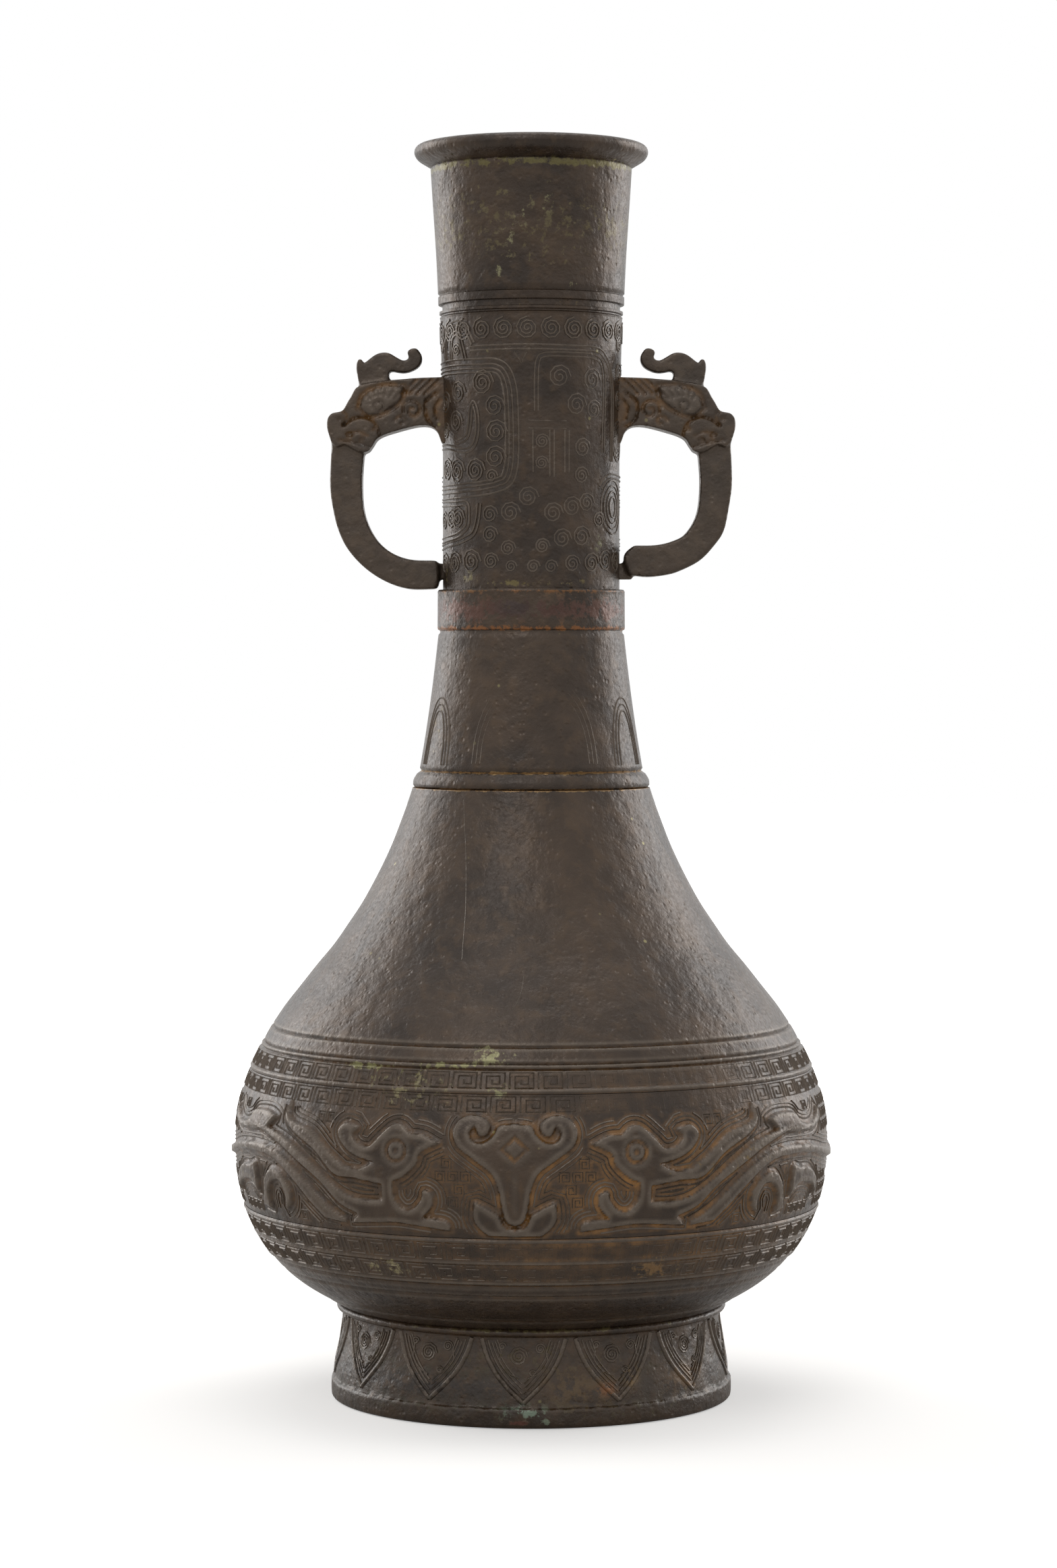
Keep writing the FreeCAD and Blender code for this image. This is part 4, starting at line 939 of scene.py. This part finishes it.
inner_threads = []
for inset in (1.35, 2.15, 2.95):
    line = on_foot(LEAF_SIDE, inset)
    inner_threads.append(line[(line[:, 0] < -0.2) & (line[:, 1] < 20.2)])
inner_threads.append(on_foot([(-7.8, 20.2), (-6.6, 17.5), (-6.9, 15.2), (-4.6, 12.8), (-1.2, 11.4)]))
eyes = [curl(-1.4, 16.4, 2.3, 3), curl(4.9, 18.2, 1.3, 2.2), curl(2.6, 12.6, 0.9, 1.5),
        curl(-6.2, 18.7, 1.0, 1.5)]
lay("lappet_rims", both_sides([on_foot(LEAF_SIDE)]), foot_skin, LAPPETS, -2.3, thickness=1.4,
    sunk=0.27, sides=8)
lay("lappet_threads", both_sides(inner_threads) + eyes, foot_skin, LAPPETS, -2.3, thickness=0.5,
    sunk=0.0, worn=lambda azimuth, level: 0.08 * patch(azimuth, level, 4, 14, 18, 8))

# Handles: a beast's head that grows out of the neck, with a curled horn over it, holds a flat strap
# in its mouth. The strap bends round to the neck again. All of it is cast in one with the vase.
HEAD = [
    [(-2.5, 6.9), (5, 6.7), (12.7, 6.1)],
    [(12.7, 6.1), (19.8, 4.8), (22, 2), (23.9, -1.3)],
    [(23.9, -1.3), (26.8, -2), (27.7, -4.6), (26.6, -8.8)],
    [(26.6, -8.8), (25.2, -9.8), (23.6, -9.2), (22, -9.9), (20, -11), (17.9, -11), (16.6, -9.4),
     (15.2, -7.6), (11.1, -6.1), (5, -4.7), (1.7, -5.6), (0.2, -9)],
    [(0.2, -9), (-2.5, -9)],
    [(-2.5, -9), (-2.5, 6.9)],
]
HORN = [
    [(12.4, 4.4), (12.6, 6.2), (13, 7.8)],
    [(13, 7.8), (12.3, 8.4), (9, 8), (5.8, 9.4), (4.9, 11.7), (6.3, 13.9), (7.8, 13.7)],
    [(7.8, 13.7), (8.6, 12.9), (8, 11.6), (9.4, 10.9), (11, 11.7), (13.4, 12.9), (16, 12.4),
     (18.9, 10.2)],
    [(18.9, 10.2), (19.5, 11.4), (20.4, 11.1)],
    [(20.4, 11.1), (20.7, 9), (19.8, 4)],
    [(19.8, 4), (12.4, 4.4)],
]
STRAP_RIGHT = [
    [(18.2, -8), (18.6, -10), (19.2, -18), (18.5, -25.5), (15.8, -30.4), (12.5, -32.3), (8.5, -33.2),
     (3.4, -33.3)],
    [(3.4, -33.3), (1.4, -35), (1, -37), (2.2, -40.3)],
    [(2.2, -40.3), (6.4, -40.8), (10.6, -40.4), (14.1, -39.5), (19.2, -36.9), (22.9, -33),
     (25, -29.6), (26.2, -23.9), (26.9, -18.2), (26.6, -10), (26.4, -8)],
    [(26.4, -8), (18.2, -8)],
]
STRAP_LEFT = [
    [(18.2, -8), (18.6, -10), (19.2, -18), (18.7, -25.4), (16.4, -31), (12.9, -34.6), (8, -36.6),
     (1.5, -36.9)],
    [(1.5, -36.9), (0.9, -38.4), (0.9, -42.4), (1.6, -43.7)],
    [(1.6, -43.7), (8, -43.7), (13.5, -42), (18.5, -38.8), (22.6, -34.4), (25, -29.6), (26.4, -23.9),
     (27, -18.2), (26.6, -10), (26.4, -8)],
    [(26.4, -8), (18.2, -8)],
]
NUB = [[(-1, -37.6), (3, -37.6)], [(3, -37.6), (3, -41.4)], [(3, -41.4), (-1, -41.4)],
       [(-1, -41.4), (-1, -37.6)]]
EYE = [
    [(20, -0.6), (18.7, 2.7), (14.6, 4.6), (9.2, 4.7)],
    [(9.2, 4.7), (9.5, 2), (12.3, -0.8), (17.1, -2.5), (20, -0.6)],
]
# Lines cut in the head, each with how deep in mm: the mane, the mouth, the jaw's curls, the lashes.
CUTS = [([(out, 6.2), (out + 3.6, 2.8)], 0.55) for out in (0.6, 2.4, 4.2, 6.0)] + [
    ([(23.7, -4.6), (20.8, -2.9), (17.6, -3), (15.6, -5.2), (14.9, -7.6)], 0.75),
    ([(9.3, -1.7), (9.2, 0.3), (7.6, 1.2), (5.8, 0.5), (5.4, -1.2), (6.6, -2.6), (8, -2), (7.9, -0.8),
      (7.1, -0.7)], 0.55),
    ([(11.3, -3.5), (10.4, -2.6), (9.2, -2.9), (9, -3.9), (9.8, -4.3)], 0.5),
    ([(17.4, 1.6), (18.2, 2.6)], 0.35), ([(16.4, 2.2), (16.8, 3.6)], 0.35),
    ([(15.1, 2.4), (15.1, 4)], 0.35), ([(13.8, 2.3), (13.3, 3.9)], 0.35),
    ([(12.6, 2), (11.6, 3.6)], 0.35), ([(11.4, 1.6), (10.2, 3)], 0.35),
    ([(24.2, -0.8), (23, -2.4), (23.7, -4.6)], 0.55),
    ([(1.4, 3), (3.6, 1.4), (4.1, -0.9), (3.4, -3.4), (1.4, -5)], 0.65),
    ([(0.4, 1.4), (1.7, -0.6), (1.2, -3.4)], 0.4),
    ([(22.8, -6.8), (20, -6.3), (18, -7.2)], 0.45),
    ([(24.6, -8.2), (21.2, -8.7), (17.2, -10)], 0.55),
]
PITS = [((22.2, -7.2), 0.8), ((19.4, -8.2), 0.8), ((16.3, -5.6), 0.6), ((24.6, -3.2), 0.55)]
NECK_RADIUS = 21.2
HEAD_MIDDLE = 237.6
HEAD_HALF_DEPTH = 4.7
STRAP_HALF_DEPTH = 3.6
HORN_HALF_DEPTH = 2.3
HANDLE_GRAIN = 0.36


def slab(shape, strokes, side, half_depth):
    """Adds a flat block with an outline in the handles' plane, half_depth mm to both sides of it."""
    line = np.vstack([smooth(stroke, 0.5)[:-1] for stroke in strokes])
    near, far = [[shape.verts.new((side * (NECK_RADIUS + out), y, HEAD_MIDDLE + up))
                  for out, up in line] for y in (-half_depth, half_depth)]
    shape.faces.new(near)
    shape.faces.new(list(reversed(far)))
    for k in range(len(line)):
        shape.faces.new((near[k - 1], far[k - 1], far[k], near[k]))


def handle(name, side, strap):
    """Melts a handle's blocks into one skin, rounds it and cuts its eyes, mane and mouth."""
    shape = bmesh.new()
    for strokes, half_depth in ((HEAD, HEAD_HALF_DEPTH), (strap, STRAP_HALF_DEPTH), (HORN, HORN_HALF_DEPTH),
                                (NUB, HORN_HALF_DEPTH)):
        slab(shape, strokes, side, half_depth)
    bmesh.ops.recalc_face_normals(shape, faces=shape.faces)
    block = bpy.data.meshes.new(name)
    shape.to_mesh(block)
    shape.free()
    item = bpy.data.objects.new(name, block)
    bpy.context.collection.objects.link(item)
    melt = item.modifiers.new("melt", "REMESH")
    melt.mode = "VOXEL"
    melt.voxel_size = HANDLE_GRAIN
    rounding = item.modifiers.new("rounding", "SMOOTH")
    rounding.factor = 0.6
    rounding.iterations = 10
    skin = bpy.data.meshes.new_from_object(item.evaluated_get(bpy.context.evaluated_depsgraph_get()))
    bpy.data.objects.remove(item)
    spots = np.empty(len(skin.vertices) * 3)
    skin.vertices.foreach_get("co", spots)
    spots = spots.reshape(-1, 3)
    facing = np.empty(len(skin.vertices) * 3)
    skin.vertices.foreach_get("normal", facing)
    facing = facing.reshape(-1, 3)[:, 1]
    out, up = side * spots[:, 0] - NECK_RADIUS, spots[:, 2] - HEAD_MIDDLE
    dent = np.zeros(len(spots))
    for line, depth in CUTS:
        dent -= depth * np.exp(-(line_distance(smooth(line, 0.5), out, up) / 0.42) ** 2)
    for (pit_out, pit_up), size in PITS:
        dent -= size * np.exp(-(np.hypot(out - pit_out, up - pit_up) / size) ** 2)
    lid = inside_depth(np.vstack([smooth(stroke, 0.5)[:-1] for stroke in EYE]), out, up)
    dent += 0.5 * eased(lid / 1.2) - 0.55 * np.exp(-((lid + 0.3) / 0.5) ** 2)
    pupil = np.hypot(out - 15.2, up + 0.1)
    dent -= 0.45 * np.exp(-((pupil - 1.1) / 0.35) ** 2)
    cheek = np.exp(-((out - 12) / 7) ** 4 - ((up + 1) / 6) ** 4)
    spots[:, 1] += np.sign(spots[:, 1]) * np.abs(facing) ** 2 * (dent + 0.35 * cheek)
    skin.vertices.foreach_set("co", (spots * MM).ravel())
    skin.update()
    # Painted shade where the handle grows out of the neck, and dirt with painted shade in its cut lines. The
    # whole handle is lightened a little as painted light, and its raised lids more as a painted highlight.
    root = eased((4 - out) / 4) * eased((up + 14) / 6)
    bronze_piece(name, skin, np.clip(np.clip(-dent / 0.4, 0, 1) * 0.9 + 0.45 * root, 0, 1),
                 0.35 + 0.35 * eased((dent - 0.1) / 0.3))


handle("right_handle", 1, STRAP_RIGHT)
handle("left_handle", -1, STRAP_LEFT)
